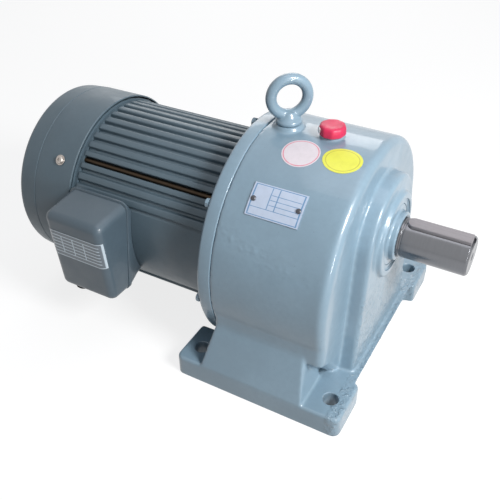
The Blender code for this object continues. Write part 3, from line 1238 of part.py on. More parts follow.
def frame_outline():
    """The finned frame in cross-section: fins all round, four rod grooves and the smooth terminal panel."""
    grooves = corner_angles(TIE_ROD_ANGLE)
    root_radius = FIN_TIP_RADIUS - FIN_DEPTH
    points = []
    for index, count in enumerate((FINS_ABOVE, FINS_BESIDE, FINS_ABOVE, FINS_BESIDE)):
        start = grooves[index]
        pitch = ((grooves[(index + 1) % 4] - start) % 360.0) / count
        for fin in range(count):
            centre = start + pitch * (fin + 0.5)
            if PANEL_START < centre < PANEL_END:
                points.append(polar(PANEL_RADIUS, centre - pitch * FIN_ROOT_SHARE))
                points.append(polar(PANEL_RADIUS, centre + pitch * FIN_ROOT_SHARE))
                continue
            for side, at_rod in ((-1, fin == 0), (1, fin == count - 1)):
                root = (root_radius, centre + side * pitch * FIN_ROOT_SHARE)
                tip = (FIN_TIP_RADIUS, centre + side * pitch * FIN_TIP_SHARE)
                if at_rod:
                    groove = centre + side * (pitch / 2 - TIE_ROD_GROOVE_HALF_ANGLE)
                    root = (TIE_ROD_GROOVE_RADIUS, groove)
                    tip = (FIN_TIP_RADIUS, groove)
                flank = (root, tip) if side < 0 else (tip, root)
                points += [polar(*flank[0]), polar(*flank[1])]
    return points


def build_motor_frame(palette):
    """Finned frame with its bore, the stator core and the two winding heads."""
    paint = palette["motor_paint"]
    frame = prism_x("motor_frame", frame_outline(), FRAME_REAR_X, FRAME_FRONT_X, paint)
    start = (FRAME_REAR_X - OVERCUT, 0.0, MOTOR_AXIS_Z)
    end = (FRAME_FRONT_X + OVERCUT, 0.0, MOTOR_AXIS_Z)
    cut(frame, rod("bore", start, end, STATOR_RADIUS + SEAT_GAP, BORE_SEGMENTS, paint))
    core_front = FRAME_FRONT_X - STATOR_START
    core_rear = core_front - STATOR_LENGTH
    core = [
        (core_rear, STATOR_BORE_RADIUS),
        (core_rear, STATOR_RADIUS),
        (core_front, STATOR_RADIUS),
        (core_front, STATOR_BORE_RADIUS),
    ]
    turned("stator_core", core, MOTOR_AXIS_Z, FIT_SEGMENTS, palette["core_steel"], closed=True)
    for name, near, far in (
        ("winding_front", core_front + SEAT_GAP, core_front + SEAT_GAP + WINDING_LENGTH),
        ("winding_rear", core_rear - SEAT_GAP, core_rear - SEAT_GAP - WINDING_LENGTH),
    ):
        bend = (far - near) * 0.3
        head = [
            (near, WINDING_INNER_RADIUS + 3.0),
            (near, WINDING_OUTER_RADIUS - 5.0),
            (near + bend, WINDING_OUTER_RADIUS),
            (far, WINDING_OUTER_RADIUS - 8.0),
            (far, WINDING_INNER_RADIUS + 6.0),
            (far - bend, WINDING_INNER_RADIUS),
        ]
        turned(name, head, MOTOR_AXIS_Z, 24, palette["copper"], closed=True)
    return frame


def build_end_shield(palette):
    """Rear bracket: rim on the frame, dished wall, bearing hub and four lugs for the fan cover."""
    paint = palette["motor_paint"]
    rim_front = SHIELD_REAR_X + SHIELD_RIM_THICKNESS
    rim_radius = COVER_FRONT_RADIUS - COVER_WALL - SEAT_GAP
    hub_radius = MOTOR_REAR_BEARING[1] / 2 + BEARING_WALL
    hub_rear = SHIELD_REAR_X - SHIELD_HUB_LENGTH + SHIELD_RIM_THICKNESS
    spigot = STATOR_RADIUS
    profile = [
        (rim_front, 0.0),
        (rim_front, spigot - 8.0),
        (rim_front + 6.0, spigot - 8.0),
        (rim_front + 6.0, spigot),
        (rim_front, spigot),
        (rim_front, FIN_TIP_RADIUS - 1.0),
        (COVER_FRONT_X - SEAT_GAP, FIN_TIP_RADIUS - 1.0),
        (COVER_FRONT_X - SEAT_GAP, rim_radius),
        (SHIELD_REAR_X, rim_radius),
        (SHIELD_REAR_X, hub_radius + 4.0),
        (hub_rear, hub_radius),
        (hub_rear, 0.0),
    ]
    shield = turned("rear_end_shield", profile, MOTOR_AXIS_Z, CASE_SEGMENTS, paint)
    lug_rear = SHIELD_REAR_X - SHIELD_LUG_LENGTH
    half = SHIELD_LUG_WIDTH / 2
    taper = COVER_SIDE_TAPER * SHIELD_LUG_LENGTH / COVER_LENGTH * 1.6
    for degrees in corner_angles(COVER_SCREW_ANGLE):
        side_view = [
            (SHIELD_REAR_X + 2.0, rim_radius - SHIELD_LUG_DEPTH),
            (SHIELD_REAR_X + 2.0, rim_radius - taper - 1.0),
            (lug_rear, rim_radius - taper - 1.0),
            (lug_rear, rim_radius - SHIELD_LUG_DEPTH / 2),
        ]
        sections = [[(x, radius, offset) for x, radius in side_view] for offset in (-half, half)]
        lug = loft("lug", sections, paint)
        turn = Matrix.Rotation(math.radians(degrees), 4, "X")
        lug.data.transform(Matrix.Translation((0.0, 0.0, MOTOR_AXIS_Z * MM)) @ turn)
        add(shield, lug)
    centre = motor_rear_bearing_x()
    bearing_half = MOTOR_REAR_BEARING[2] / 2
    bores = [
        (rim_front + OVERCUT, 0.0),
        (rim_front + OVERCUT, MOTOR_REAR_BEARING[1] / 2 + SEAT_GAP),
        (centre - bearing_half - SEAT_GAP, MOTOR_REAR_BEARING[1] / 2 + SEAT_GAP),
        (centre - bearing_half - SEAT_GAP, MOTOR_REAR_BEARING[0] / 2 + 3.0),
        (hub_rear - OVERCUT, MOTOR_REAR_BEARING[0] / 2 + 3.0),
        (hub_rear - OVERCUT, 0.0),
    ]
    cut(shield, turned("bores", bores, MOTOR_AXIS_Z, PART_SEGMENTS, paint))
    for degrees in corner_angles(TIE_ROD_ANGLE):
        y, z = polar(TIE_ROD_CIRCLE, degrees)
        start = (SHIELD_REAR_X - OVERCUT, y, z)
        end = (rim_front + OVERCUT, y, z)
        cut(shield, rod("hole", start, end, TIE_ROD_RADIUS + SEAT_GAP, SMALL_SEGMENTS, paint))
    for degrees in corner_angles(COVER_SCREW_ANGLE):
        start, end = cover_screw_line(degrees, -COVER_SCREW_LENGTH - COVER_WALL - 1.0, 0.0)
        cut(shield, rod("hole", start, end, COVER_SCREW_RADIUS + SEAT_GAP, SMALL_SEGMENTS, paint))
    return shield


def cover_screw_line(degrees, low, high):
    """Two points on a fan cover screw's axis, at heights above the cover's outer face."""
    x = COVER_FRONT_X - COVER_SCREW_FROM_RIM
    surface = cover_radius_at(x)
    return (x, *polar(surface + low, degrees)), (x, *polar(surface + high, degrees))


def cover_radius_at(x):
    """Outer radius of the fan cover's gently tapered side."""
    share = (COVER_FRONT_X - x) / (COVER_LENGTH - COVER_CREASE_FROM_REAR)
    return COVER_FRONT_RADIUS - COVER_SIDE_TAPER * share


def build_tie_rods(palette):
    """Long screws that clamp the frame between the end shield and the flange."""
    for index, degrees in enumerate(corner_angles(TIE_ROD_ANGLE), start=1):
        place = polar(TIE_ROD_CIRCLE, degrees)
        head_x = SHIELD_REAR_X - SEAT_GAP
        start = (head_x - TIE_ROD_HEAD_HEIGHT, *place)
        head = rod(f"tie_rod_{index}", start, (head_x, *place), TIE_ROD_HEAD_RADIUS, HEAD_SEGMENTS,
                   palette["rod_steel"])
        start = (head_x - TIE_ROD_HEAD_HEIGHT / 2, *place)
        end = (FLANGE_REAR_X + TIE_ROD_THREAD, *place)
        add(head, rod("shank", start, end, TIE_ROD_RADIUS, SMALL_SEGMENTS, palette["rod_steel"]))


def build_fan_cover(palette):
    """Thin cup over the fan, with rings of air slots in its rear face and its four screws."""
    paint = palette["motor_paint"]
    crease_x = COVER_REAR_X + COVER_CREASE_FROM_REAR
    crease_radius = COVER_FRONT_RADIUS - COVER_SIDE_TAPER
    corner_x = COVER_REAR_X + COVER_CORNER
    corner = COVER_CORNER
    wall = COVER_WALL

    def side(offset):
        face_x = COVER_REAR_X + offset
        bend = corner - offset
        points = [
            (COVER_FRONT_X, COVER_FRONT_RADIUS - offset),
            (crease_x, crease_radius - offset),
        ]
        points += arc((corner_x, COVER_REAR_RADIUS - corner), bend, 90, 180, 2)
        return points + [(face_x, 0.0)]

    profile = side(0.0)[::-1] + side(wall)
    cover = turned("fan_cover", profile, MOTOR_AXIS_Z, CASE_SEGMENTS, paint)
    for (inner, outer), count in zip(VENT_RINGS, VENT_COUNTS):
        for index in range(count):
            centre = 360.0 * (index + 0.5) / count
            half = 180.0 / count - math.degrees(VENT_RIB / 2 / inner)
            outline = arc((0.0, MOTOR_AXIS_Z), inner, centre - half, centre + half, 2)
            outline += arc((0.0, MOTOR_AXIS_Z), outer, centre + half, centre - half, 2)
            slot = prism_x("slot", outline, COVER_REAR_X - OVERCUT, COVER_REAR_X + wall + OVERCUT, paint)
            cut(cover, slot)
    for index, degrees in enumerate(corner_angles(COVER_SCREW_ANGLE), start=1):
        start, end = cover_screw_line(degrees, -COVER_WALL - OVERCUT, OVERCUT)
        cut(cover, rod("hole", start, end, COVER_SCREW_RADIUS + SEAT_GAP, SMALL_SEGMENTS, paint))
        seat = SEAT_GAP + 0.2
        start, end = cover_screw_line(degrees, seat, seat + COVER_WASHER_THICKNESS)
        zinc = palette["zinc_steel"]
        screw = rod(f"fan_cover_screw_{index}", start, end, COVER_WASHER_RADIUS, HEAD_SEGMENTS, zinc)
        low, high = cover_screw_line(degrees, seat + 0.5, seat + COVER_WASHER_THICKNESS + COVER_SCREW_HEAD_HEIGHT)
        add(screw, rod("head", low, high, COVER_SCREW_HEAD_RADIUS, HEAD_SEGMENTS, zinc,
                       radius_end=COVER_SCREW_HEAD_RADIUS * 0.7))
        low, high = cover_screw_line(degrees, -COVER_SCREW_LENGTH, seat + 0.5)
        add(screw, rod("shank", low, high, COVER_SCREW_RADIUS, SMALL_SEGMENTS, zinc))
    return cover


def box_section(y, inset, low_z, top_z, corner, lean=0.0):
    """One rounded section of the terminal box in the plane Y = y, leaning outwards at the top."""
    half = BOX_LENGTH / 2 - inset
    points = rounded_rectangle((BOX_X - half, low_z), (BOX_X + half, top_z), corner, 3)
    return [(x, y - lean * (z - low_z) / (top_z - low_z), z) for x, z in points]


def cover_sections(offset, overshoot):
    """The terminal cover's sections from its rim to its front, moved inwards by an offset."""
    rows = []
    low = BOX_LOW_Z + offset
    rim_y = BOX_PARTING_Y - SEAT_GAP + overshoot
    for share, top_drop, low_rise, inset, corner in (
        (0.0, 0.0, 0.0, 0.0, 1.0),
        (0.25, 0.05, 0.0, 0.3, 1.0),
        (0.50, 0.24, 0.5, 0.9, 1.0),
        (0.72, 0.48, 1.4, 2.2, 1.0),
        (0.88, 0.72, 3.2, 4.6, 1.1),
        (1.0, 1.0, 7.5, 9.0, 1.3),
    ):
        y = rim_y - (COVER_DEPTH - offset + overshoot) * share
        top = BOX_TOP_Z - offset - COVER_TOP_DROP * top_drop
        radius = BOX_CORNER * corner - offset
        rows.append(box_section(y, inset + offset, low + low_rise, top, radius, COVER_LEAN * share))
    return rows


def build_terminal_box(palette):
    """Terminal box on the motor's side: funnel-shaped base, hooded cover, block, plug and screws."""
    paint = palette["motor_paint"]
    parting = BOX_PARTING_Y
    deep_y = BOX_ROOT_Y
    root_corner = BOX_CORNER * 0.8
    base = loft("terminal_box_base", [
        box_section(deep_y, BOX_ROOT_INSET_X, BOX_ROOT_LOW_Z, BOX_ROOT_TOP_Z, root_corner),
        box_section(parting + BOX_RIM, 1.0, BOX_LOW_Z + 3.0, BOX_TOP_Z - 3.0, BOX_CORNER),
        box_section(parting + BOX_RIM - 1.0, -0.6, BOX_LOW_Z - 0.6, BOX_TOP_Z + 0.6, BOX_CORNER),
        box_section(parting, -0.6, BOX_LOW_Z - 0.6, BOX_TOP_Z + 0.6, BOX_CORNER),
    ], paint)
    pocket_y = -(FIN_TIP_RADIUS + 3.0)
    wall = BOX_WALL
    pocket = loft("pocket", [
        box_section(pocket_y, wall + 3.0, BOX_LOW_Z + wall + 8.0, BOX_TOP_Z - wall - 8.0, BOX_CORNER - wall),
        box_section(parting - OVERCUT, wall, BOX_LOW_Z + wall, BOX_TOP_Z - wall, BOX_CORNER - wall),
    ], paint)
    cut(base, pocket)
    start = (FRAME_REAR_X - OVERCUT, 0.0, MOTOR_AXIS_Z)
    end = (FRAME_FRONT_X + OVERCUT, 0.0, MOTOR_AXIS_Z)
    cut(base, rod("saddle", start, end, PANEL_RADIUS + 2 * SEAT_GAP, 60, paint))

    cover = loft("terminal_box_cover", cover_sections(0.0, 0.0), paint)
    cut(cover, loft("inside", cover_sections(wall, OVERCUT), paint))

    screw_y = parting - BOX_SCREW_BEYOND_PARTING
    tab_low = BOX_LOW_Z + wall + BOX_TAB_CLEARANCE
    tab_top = tab_low + BOX_TAB_HEIGHT
    tab_far = screw_y - BOX_TAB_HALF_WIDTH
    half = BOX_TAB_HALF_WIDTH
    root_y = parting + BOX_TAB_ROOT
    low = (BOX_X - half, parting + 0.5, BOX_LOW_Z + 1.0)
    add(base, box("tab_root", low, (BOX_X + half, root_y, tab_top), paint))
    low = (BOX_X - half, tab_far, tab_low)
    add(base, box("tab", low, (BOX_X + half, root_y - 1.0, tab_top - 0.5), paint))
    hole_radius = BOX_SCREW_RADIUS + SEAT_GAP
    low = (BOX_X, screw_y, BOX_LOW_Z - OVERCUT)
    cut(base, rod("hole", low, (BOX_X, screw_y, tab_top + OVERCUT), hole_radius, SMALL_SEGMENTS, paint))
    cut(cover, rod("hole", low, (BOX_X, screw_y, tab_low + 1.0), hole_radius, SMALL_SEGMENTS, paint))
    zinc = palette["zinc_steel"]
    under = BOX_LOW_Z - SEAT_GAP
    start = (BOX_X, screw_y, under - BOX_SCREW_HEAD_HEIGHT)
    screw = rod("terminal_cover_screw", start, (BOX_X, screw_y, under), BOX_SCREW_HEAD_RADIUS * 0.75,
                HEAD_SEGMENTS, zinc, radius_end=BOX_SCREW_HEAD_RADIUS)
    end = (BOX_X, screw_y, under + BOX_SCREW_LENGTH)
    add(screw, rod("shank", (BOX_X, screw_y, under - 1.0), end, BOX_SCREW_RADIUS, SMALL_SEGMENTS, zinc))

    length, depth, height = TERMINAL_BLOCK_SIZE
    centre_z = (BOX_LOW_Z + BOX_TOP_Z) / 2
    rear_y = pocket_y - SEAT_GAP
    resin = palette["terminal_resin"]
    low = (BOX_X - length / 2, rear_y - depth, centre_z - height / 2)
    high = (BOX_X + length / 2, rear_y, centre_z + height / 2)
    block = box("terminal_block", low, high, resin)
    for column in (-1, 0, 1):
        for row in (-1, 1):
            x = BOX_X + column * length / 3.2
            z = centre_z + row * height / 4
            start = (x, rear_y - depth + 2.0, z)
            end = (x, rear_y - depth - TERMINAL_STUD_LENGTH, z)
            add(block, rod("stud", start, end, TERMINAL_STUD_RADIUS, 8, resin))

    plug_y = parting - COVER_DEPTH / 2
    plug_x = BOX_X - BOX_LENGTH / 5
    low_face = BOX_LOW_Z
    hole_low = (plug_x, plug_y, low_face - OVERCUT)
    hole_high = (plug_x, plug_y, low_face + wall + 3.0)
    cut(cover, rod("entry", hole_low, hole_high, ENTRY_PLUG_RADIUS + SEAT_GAP, 20, paint))
    under = low_face - SEAT_GAP
    plug = rod("cable_entry_plug", (plug_x, plug_y, under - ENTRY_PLUG_HEAD_HEIGHT), (plug_x, plug_y, under),
               ENTRY_PLUG_HEAD_RADIUS, 20, palette["rubber"], radius_end=ENTRY_PLUG_HEAD_RADIUS)
    add(plug, rod("stem", (plug_x, plug_y, under - 1.0), (plug_x, plug_y, low_face + wall + 2.0),
                  ENTRY_PLUG_RADIUS, 20, palette["rubber"]))
    return base


def build_eye_bolt(palette):
    """Lifting eye: round ring on a flared collar with its shank in the case."""
    paint = palette["case_paint"]
    seat_z = MOTOR_AXIS_Z + CASE_RADIUS + EYE_SEAT_HEIGHT + SEAT_GAP
    ring_z = seat_z + EYE_COLLAR_HEIGHT + EYE_RING_RADIUS + EYE_BAR_RADIUS * 0.5
    across = Vector((math.cos(EYE_TURN), math.sin(EYE_TURN), 0.0))
    facing = Vector((-math.sin(EYE_TURN), math.cos(EYE_TURN), 0.0))
    centre = Vector((EYE_X, 0.0, ring_z))
    builder = bmesh.new()
    around = 24
    sides = 8
    rings = []
    for step in range(around):
        turn = 2 * math.pi * step / around
        out = across * math.cos(turn) + Vector((0.0, 0.0, 1.0)) * math.sin(turn)
        ring = []
        for side in range(sides):
            angle = 2 * math.pi * side / sides
            offset = out * (EYE_RING_RADIUS + EYE_BAR_RADIUS * math.cos(angle))
            ring.append(builder.verts.new((centre + offset + facing * EYE_BAR_RADIUS * math.sin(angle)) * MM))
        rings.append(ring)
    for step in range(around):
        low = rings[step]
        high = rings[(step + 1) % around]
        for side in range(sides):
            after = (side + 1) % sides
            builder.faces.new((low[side], low[after], high[after], high[side]))
    eye = new_object("eye_bolt", builder, paint)
    collar_top = seat_z + EYE_COLLAR_HEIGHT
    neck = EYE_BAR_RADIUS * 1.25
    add(eye, rod("collar", (EYE_X, 0, seat_z), (EYE_X, 0, seat_z + EYE_COLLAR_HEIGHT / 2), EYE_COLLAR_RADIUS, 20,
                 paint, radius_end=EYE_COLLAR_RADIUS - 1.0))
    add(eye, rod("neck", (EYE_X, 0, seat_z + 2.0), (EYE_X, 0, collar_top + EYE_BAR_RADIUS), EYE_COLLAR_RADIUS - 2.0,
                 20, paint, radius_end=neck))
    add(eye, rod("shank", (EYE_X, 0, seat_z - EYE_SHANK_LENGTH), (EYE_X, 0, seat_z + 1.0), EYE_SHANK_RADIUS, 12,
                 paint))
    return eye


def build_filler_cap(palette):
    """Hexagon oil filler cap with its stem in the case."""
    plastic = palette["cap_plastic"]
    seat_z = MOTOR_AXIS_Z + CASE_RADIUS + FILLER_SEAT_HEIGHT + SEAT_GAP
    top_z = seat_z + FILLER_HEAD_HEIGHT
    cap = rod("oil_filler_cap", (FILLER_X, 0, seat_z + 2.5), (FILLER_X, 0, top_z - 1.5), FILLER_HEX_RADIUS, 6,
              plastic)
    add(cap, rod("crown", (FILLER_X, 0, top_z - 2.5), (FILLER_X, 0, top_z), FILLER_HEX_RADIUS * 0.87, 20, plastic,
                 radius_end=FILLER_HEX_RADIUS * 0.8))
    add(cap, rod("flange", (FILLER_X, 0, seat_z), (FILLER_X, 0, seat_z + 3.5), FILLER_HEX_RADIUS, 20, plastic))
    add(cap, rod("stem", (FILLER_X, 0, seat_z - FILLER_STEM_LENGTH), (FILLER_X, 0, seat_z + 1.0),
                 FILLER_STEM_RADIUS, 16, plastic))
    return cap


def build_nameplate(palette):
    """Thin plate bent to the round of the case, held by two rivets."""
    metal = palette["plate_aluminium"]
    half_angle = math.degrees(PLATE_HEIGHT / 2 / CASE_RADIUS)
    low = CASE_RADIUS + SEAT_GAP
    high = low + PLATE_THICKNESS
    steps = 6
    start = PLATE_ANGLE - half_angle
    end = PLATE_ANGLE + half_angle
    centre = (0.0, MOTOR_AXIS_Z)
    outline = arc(centre, low, start, end, steps) + arc(centre, high, end, start, steps)
    half = PLATE_LENGTH / 2
    plate = prism_x("nameplate", outline, PLATE_X - half, PLATE_X + half, metal)
    for index, x in enumerate(plate_rivet_places(), start=1):
        def line(low_radius, high_radius):
            return (x, *polar(low_radius, PLATE_ANGLE)), (x, *polar(high_radius, PLATE_ANGLE))

        first, last = line(CASE_RADIUS - OVERCUT, high + OVERCUT)
        cut(plate, rod("hole", first, last, PLATE_RIVET_RADIUS + SEAT_GAP, 8, metal))
        first, last = line(high + SEAT_GAP, high + SEAT_GAP + PLATE_RIVET_HEAD_HEIGHT)
        rivet = rod(f"nameplate_rivet_{index}", first, last, PLATE_RIVET_HEAD_RADIUS, 10, metal,
                    radius_end=PLATE_RIVET_HEAD_RADIUS * 0.6)
        first, last = line(CASE_RADIUS - PLATE_RIVET_LENGTH, high + SEAT_GAP + 0.5)
        add(rivet, rod("shank", first, last, PLATE_RIVET_RADIUS, 8, metal))
    return plate


def put_origin_on_axis(names, axis_z):
    """Move the origins of turning pieces onto their shaft's axis without moving the pieces."""
    offset = Vector((0.0, 0.0, axis_z * MM))
    for name in names:
        item = bpy.data.objects[name]
        item.data.transform(Matrix.Translation(-offset))
        item.location = offset


def centre_on_foot():
    """Bring the middle of the foot's hole pattern to the origin."""
    for item in bpy.data.objects:
        item.location.x -= (FRONT_HOLE_X + REAR_HOLE_X) / 2 * MM


def main():
    """Build every piece of the gear motor."""
    clear_scene()
    palette = make_palette()
    build_gear_case(palette)
    build_motor_flange(palette)
    build_flange_bolts(palette)
    build_carrier(palette)
    build_output_group(palette)
    build_intermediate_group(palette)
    build_rotor_group(palette)
    build_motor_frame(palette)
    build_end_shield(palette)
    build_tie_rods(palette)
    build_fan_cover(palette)
    build_terminal_box(palette)
    build_eye_bolt(palette)
    build_filler_cap(palette)
    build_nameplate(palette)
    put_origin_on_axis(("output_shaft", "output_key", "output_gear", "output_gear_key"), OUTPUT_AXIS_Z)
    put_origin_on_axis(("intermediate_shaft", "intermediate_gear"), INTERMEDIATE_AXIS_Z)
    put_origin_on_axis(("motor_shaft", "rotor_core", "cooling_fan", "fan_circlip"), MOTOR_AXIS_Z)
    centre_on_foot()


main()
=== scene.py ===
"""Looks of a foot-mounted gear motor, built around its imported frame.

Sizes are millimetres in the frame's axes: +X along the output shaft, +Z up, the foot on Z = 0.
"""

import json
import math

import bmesh
import bpy
from mathutils import Matrix, Vector, noise
from mathutils.bvhtree import BVHTree


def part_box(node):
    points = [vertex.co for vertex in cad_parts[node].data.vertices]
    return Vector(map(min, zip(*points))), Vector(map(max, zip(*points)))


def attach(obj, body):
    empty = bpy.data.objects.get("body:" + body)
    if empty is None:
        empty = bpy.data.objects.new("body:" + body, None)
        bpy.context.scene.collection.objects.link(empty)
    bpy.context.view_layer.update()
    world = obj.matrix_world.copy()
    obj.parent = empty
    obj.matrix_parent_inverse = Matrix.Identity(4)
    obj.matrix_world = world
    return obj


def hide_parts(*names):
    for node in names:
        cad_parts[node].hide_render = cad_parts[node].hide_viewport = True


MM = 0.001

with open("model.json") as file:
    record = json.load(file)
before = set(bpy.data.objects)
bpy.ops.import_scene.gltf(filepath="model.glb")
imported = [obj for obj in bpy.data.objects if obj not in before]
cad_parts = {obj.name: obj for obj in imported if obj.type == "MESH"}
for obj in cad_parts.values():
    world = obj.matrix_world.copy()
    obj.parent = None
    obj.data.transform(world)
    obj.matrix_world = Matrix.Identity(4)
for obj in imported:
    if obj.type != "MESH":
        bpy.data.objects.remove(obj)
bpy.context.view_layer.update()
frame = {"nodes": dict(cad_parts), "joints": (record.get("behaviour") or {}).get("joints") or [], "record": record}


def node_box(name):
    """Lowest and highest corners of a frame node, in millimetres."""
    low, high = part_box(name)
    return low / MM, high / MM


def node_middle(name):
    """Centre of a frame node's box, in millimetres."""
    low, high = node_box(name)
    return (low + high) / 2


def node_bar(name):
    """Rear end and length of a frame node that lies along X."""
    low, high = node_box(name)
    middle = node_middle(name)
    return (low.x, middle.y, middle.z), high.x - low.x


def joint_height(name):
    """Height of a shaft's axis, in millimetres."""
    for joint in frame["joints"]:
        if joint["name"] == name:
            return joint["pos_m"][2] / MM
    return 0.0


CASE_LOW, CASE_HIGH = node_box("gear_case")
FLANGE_LOW = node_box("motor_flange")[0]
FRAME_LOW, FRAME_HIGH = node_box("motor_frame")
COVER_LOW, COVER_HIGH = node_box("fan_cover")
BOX_LOW, BOX_HIGH = node_box("terminal_box_cover")
BASE_LOW, BASE_HIGH = node_box("terminal_box_base")
SHAFT_LOW, SHAFT_HIGH = node_box("output_shaft")
EYE_LOW, EYE_HIGH = node_box("eye_bolt")
CAP_LOW, CAP_HIGH = node_box("oil_filler_cap")
PLATE_LOW, PLATE_HIGH = node_box("nameplate")
SEAL_LOW, SEAL_HIGH = node_box("oil_seal")

MOTOR_Z = joint_height("rotor_spin")
OUTPUT_Z = joint_height("output_spin")
PINION_Z = joint_height("intermediate_spin")

GAP = 0.3
FLANGE_WIDTH = 17.0
SEAM_X = FRAME_HIGH.x + FLANGE_WIDTH + 2 * GAP
CASE_R = 142.0
CASE_LENGTH = 137.0
CASE_EDGE = 9.0
CAVITY_R = 132.0
CAVITY_DEPTH = 121.0
FLOOR = 10.0
FRONT_X = SEAM_X + CASE_LENGTH
TIER_X = FRONT_X + 18.0
TIER_R = 69.0
TIER_FOOT = 87.0
TIER_EDGE = 4.0
BOSS_R = 49.0
BOSS_X = TIER_X + 6.0
FOOT_Y = CASE_HIGH.y - GAP
FOOT_TOP = 27.0
PAD_Y = 98.0
PAD_FILLET = 12.0
HOLE_X = 85.0
HOLE_Y = 132.5
HOLE_R = 9.0
EYE_SHANK_R = 6.0
CAP_STEM_R = 9.0
PLUG_R = 10.0
ROD_SHANK_R = 3.0
BOLTS = 7
BOLT_HEAD = 4.5
BOLT_HEAD_R = 5.6
BOLT_SHANK_R = 3.0
POCKET_WALL_R = 34.0
POCKET_R = 26.0
FRAME_SPIGOT_R = 95.0
BEARING_R = 45.0
WALL_Y = 137.0
WALL_LOW_Z = 72.0
FLARE_TOP = 81.0
FLARE_REAR_X = SEAM_X + 3.0
FLARE_REAR_SPREAD = 11.0
FLARE_FRONT_X = SEAM_X + 123.0
FLARE_DRAFT = 9.0
CAST_VOXEL = 1.5
FINE_VOXEL = 0.8
ROUND = 160
FAR = 3 * CASE_R
EYE_X = (EYE_LOW.x + EYE_HIGH.x) / 2
CAP_X = (CAP_LOW.x + CAP_HIGH.x) / 2
ALONG = (1.0, 0.0, 0.0)
UPWARD = (0.0, 0.0, 1.0)


def clamped(value):
    """A value kept between 0 and 1."""
    return max(0.0, min(1.0, value))


def linked(name, data):
    """A new object in the scene."""
    item = bpy.data.objects.new(name, data)
    bpy.context.scene.collection.objects.link(item)
    return item


def built(name, builder):
    """A new object from a finished bmesh."""
    mesh = bpy.data.meshes.new(name)
    builder.to_mesh(mesh)
    builder.free()
    return linked(name, mesh)


def mesh_object(name, builder, smooth_angle=35.0):
    """A smooth object with sharp edges from a bmesh in millimetres."""
    bmesh.ops.recalc_face_normals(builder, faces=builder.faces)
    bmesh.ops.scale(builder, vec=(MM, MM, MM), verts=builder.verts)
    item = built(name, builder)
    smooth(item, smooth_angle)
    return item


def smooth(item, angle=35.0):
    """Shade smooth except across sharp edges."""
    item.data.shade_smooth()
    item.data.set_sharp_from_angle(angle=math.radians(angle))


def arc(centre, radius, start, end, steps):
    """Points of an arc between two angles in degrees."""
    angles = [math.radians(start + (end - start) * step / steps) for step in range(steps + 1)]
    return [(centre[0] + radius * math.cos(angle), centre[1] + radius * math.sin(angle)) for angle in angles]


def filleted(points, steps=4, closed=False):
    """Round the corners of a polyline whose points are (u, v) or (u, v, fillet radius)."""
    result = []
    count = len(points)
    for index, (u, v, *fillet) in enumerate(points):
        radius = fillet[0] if fillet else 0.0
        at_end = not closed and index in (0, count - 1)
        here = Vector((u, v))
        before = Vector(points[index - 1][:2]) - here
        after = Vector(points[(index + 1) % count][:2]) - here
        if at_end or radius <= 0.0 or before.length < 1e-6 or after.length < 1e-6:
            result.append((u, v))
            continue
        turn = before.angle(after)
        if turn > math.radians(177.0) or turn < math.radians(3.0):
            result.append((u, v))
            continue
        reach = min(radius / math.tan(turn / 2), before.length * 0.49, after.length * 0.49)
        first = here + before.normalized() * reach
        last = here + after.normalized() * reach
        centre = here + (before.normalized() + after.normalized()).normalized() * reach / math.cos(turn / 2)
        low = first - centre
        high = last - centre
        for step in range(steps + 1):
            share = step / steps
            blend = low.lerp(high, share).normalized() * low.length
            result.append(tuple(centre + blend))
    return result


def loft(name, sections, closed=False):
    """Join sections of equal point counts into one solid with flat ends, or into a closed ring."""
    builder = bmesh.new()
    rows = [[builder.verts.new(point) for point in section] for section in sections]
    pairs = list(zip(rows, rows[1:]))
    if closed:
        pairs.append((rows[-1], rows[0]))
    for low, high in pairs:
        for index in range(len(low)):
            after = (index + 1) % len(low)
            builder.faces.new((low[index], low[after], high[after], high[index]))
    if not closed:
        builder.faces.new(rows[0])
        builder.faces.new(rows[-1])
    return mesh_object(name, builder)


def circle(segments):
    """Cosines and sines of evenly spaced angles that start half a step in."""
    angles = [2 * math.pi * (step + 0.5) / segments for step in range(segments)]
    return [(math.cos(angle), math.sin(angle)) for angle in angles]


def turned(name, profile, axis_z, segments=ROUND, closed=False, steps=4):
    """Turn (x, radius, fillet) points about the X-wise axis at a height; a closed profile makes a ring."""
    sections = []
    for x, radius in filleted(profile, steps, closed):
        if radius > 1e-6:
            sections.append([(x, radius * u, axis_z + radius * v) for u, v in circle(segments)])
    return loft(name, sections, closed)


def prism(name, outline, low, high, upright=False):
    """Extrude an outline along X, or along Z if it is upright."""
    sections = [[(u, v, x) if upright else (x, u, v) for u, v in outline] for x in (low, high)]
    return loft(name, sections)


def block(name, low, high):
    """A plain block, used as a cutter or under a bevel."""
    outline = [(low[0], low[1]), (high[0], low[1]), (high[0], high[1]), (low[0], high[1])]
    return prism(name, outline, low[2], high[2], True)


def lathe_on(name, profile, base, along, segments=48, steps=3):
    """Turn (height, radius, fillet) points about a line that leaves base along a direction."""
    along = Vector(along).normalized()
    helper = Vector(UPWARD) if abs(along.z) < 0.9 else Vector(ALONG)
    side = along.cross(helper).normalized()
    other = along.cross(side)
    base = Vector(base)
    spokes = [side * u + other * v for u, v in circle(segments)]
    sections = []
    for height, radius in filleted(profile, steps):
        sections.append([base + along * height + spoke * radius for spoke in spokes])
    return loft(name, sections)


def rod(name, base, start, end, radius, segments=48, along=ALONG):
    """A plain round bar that starts and ends at two distances from a point."""
    return lathe_on(name, [(start, radius), (end, radius)], base, along, segments)


def polar(radius, degrees, axis_z=MOTOR_Z):
    """A (y, z) point at an angle from +Y towards +Z about an X-wise axis."""
    angle = math.radians(degrees)
    return radius * math.cos(angle), axis_z + radius * math.sin(angle)


def remove(item):
    """Delete an object with its mesh."""
    mesh = item.data
    bpy.data.objects.remove(item, do_unlink=True)
    bpy.data.meshes.remove(mesh)


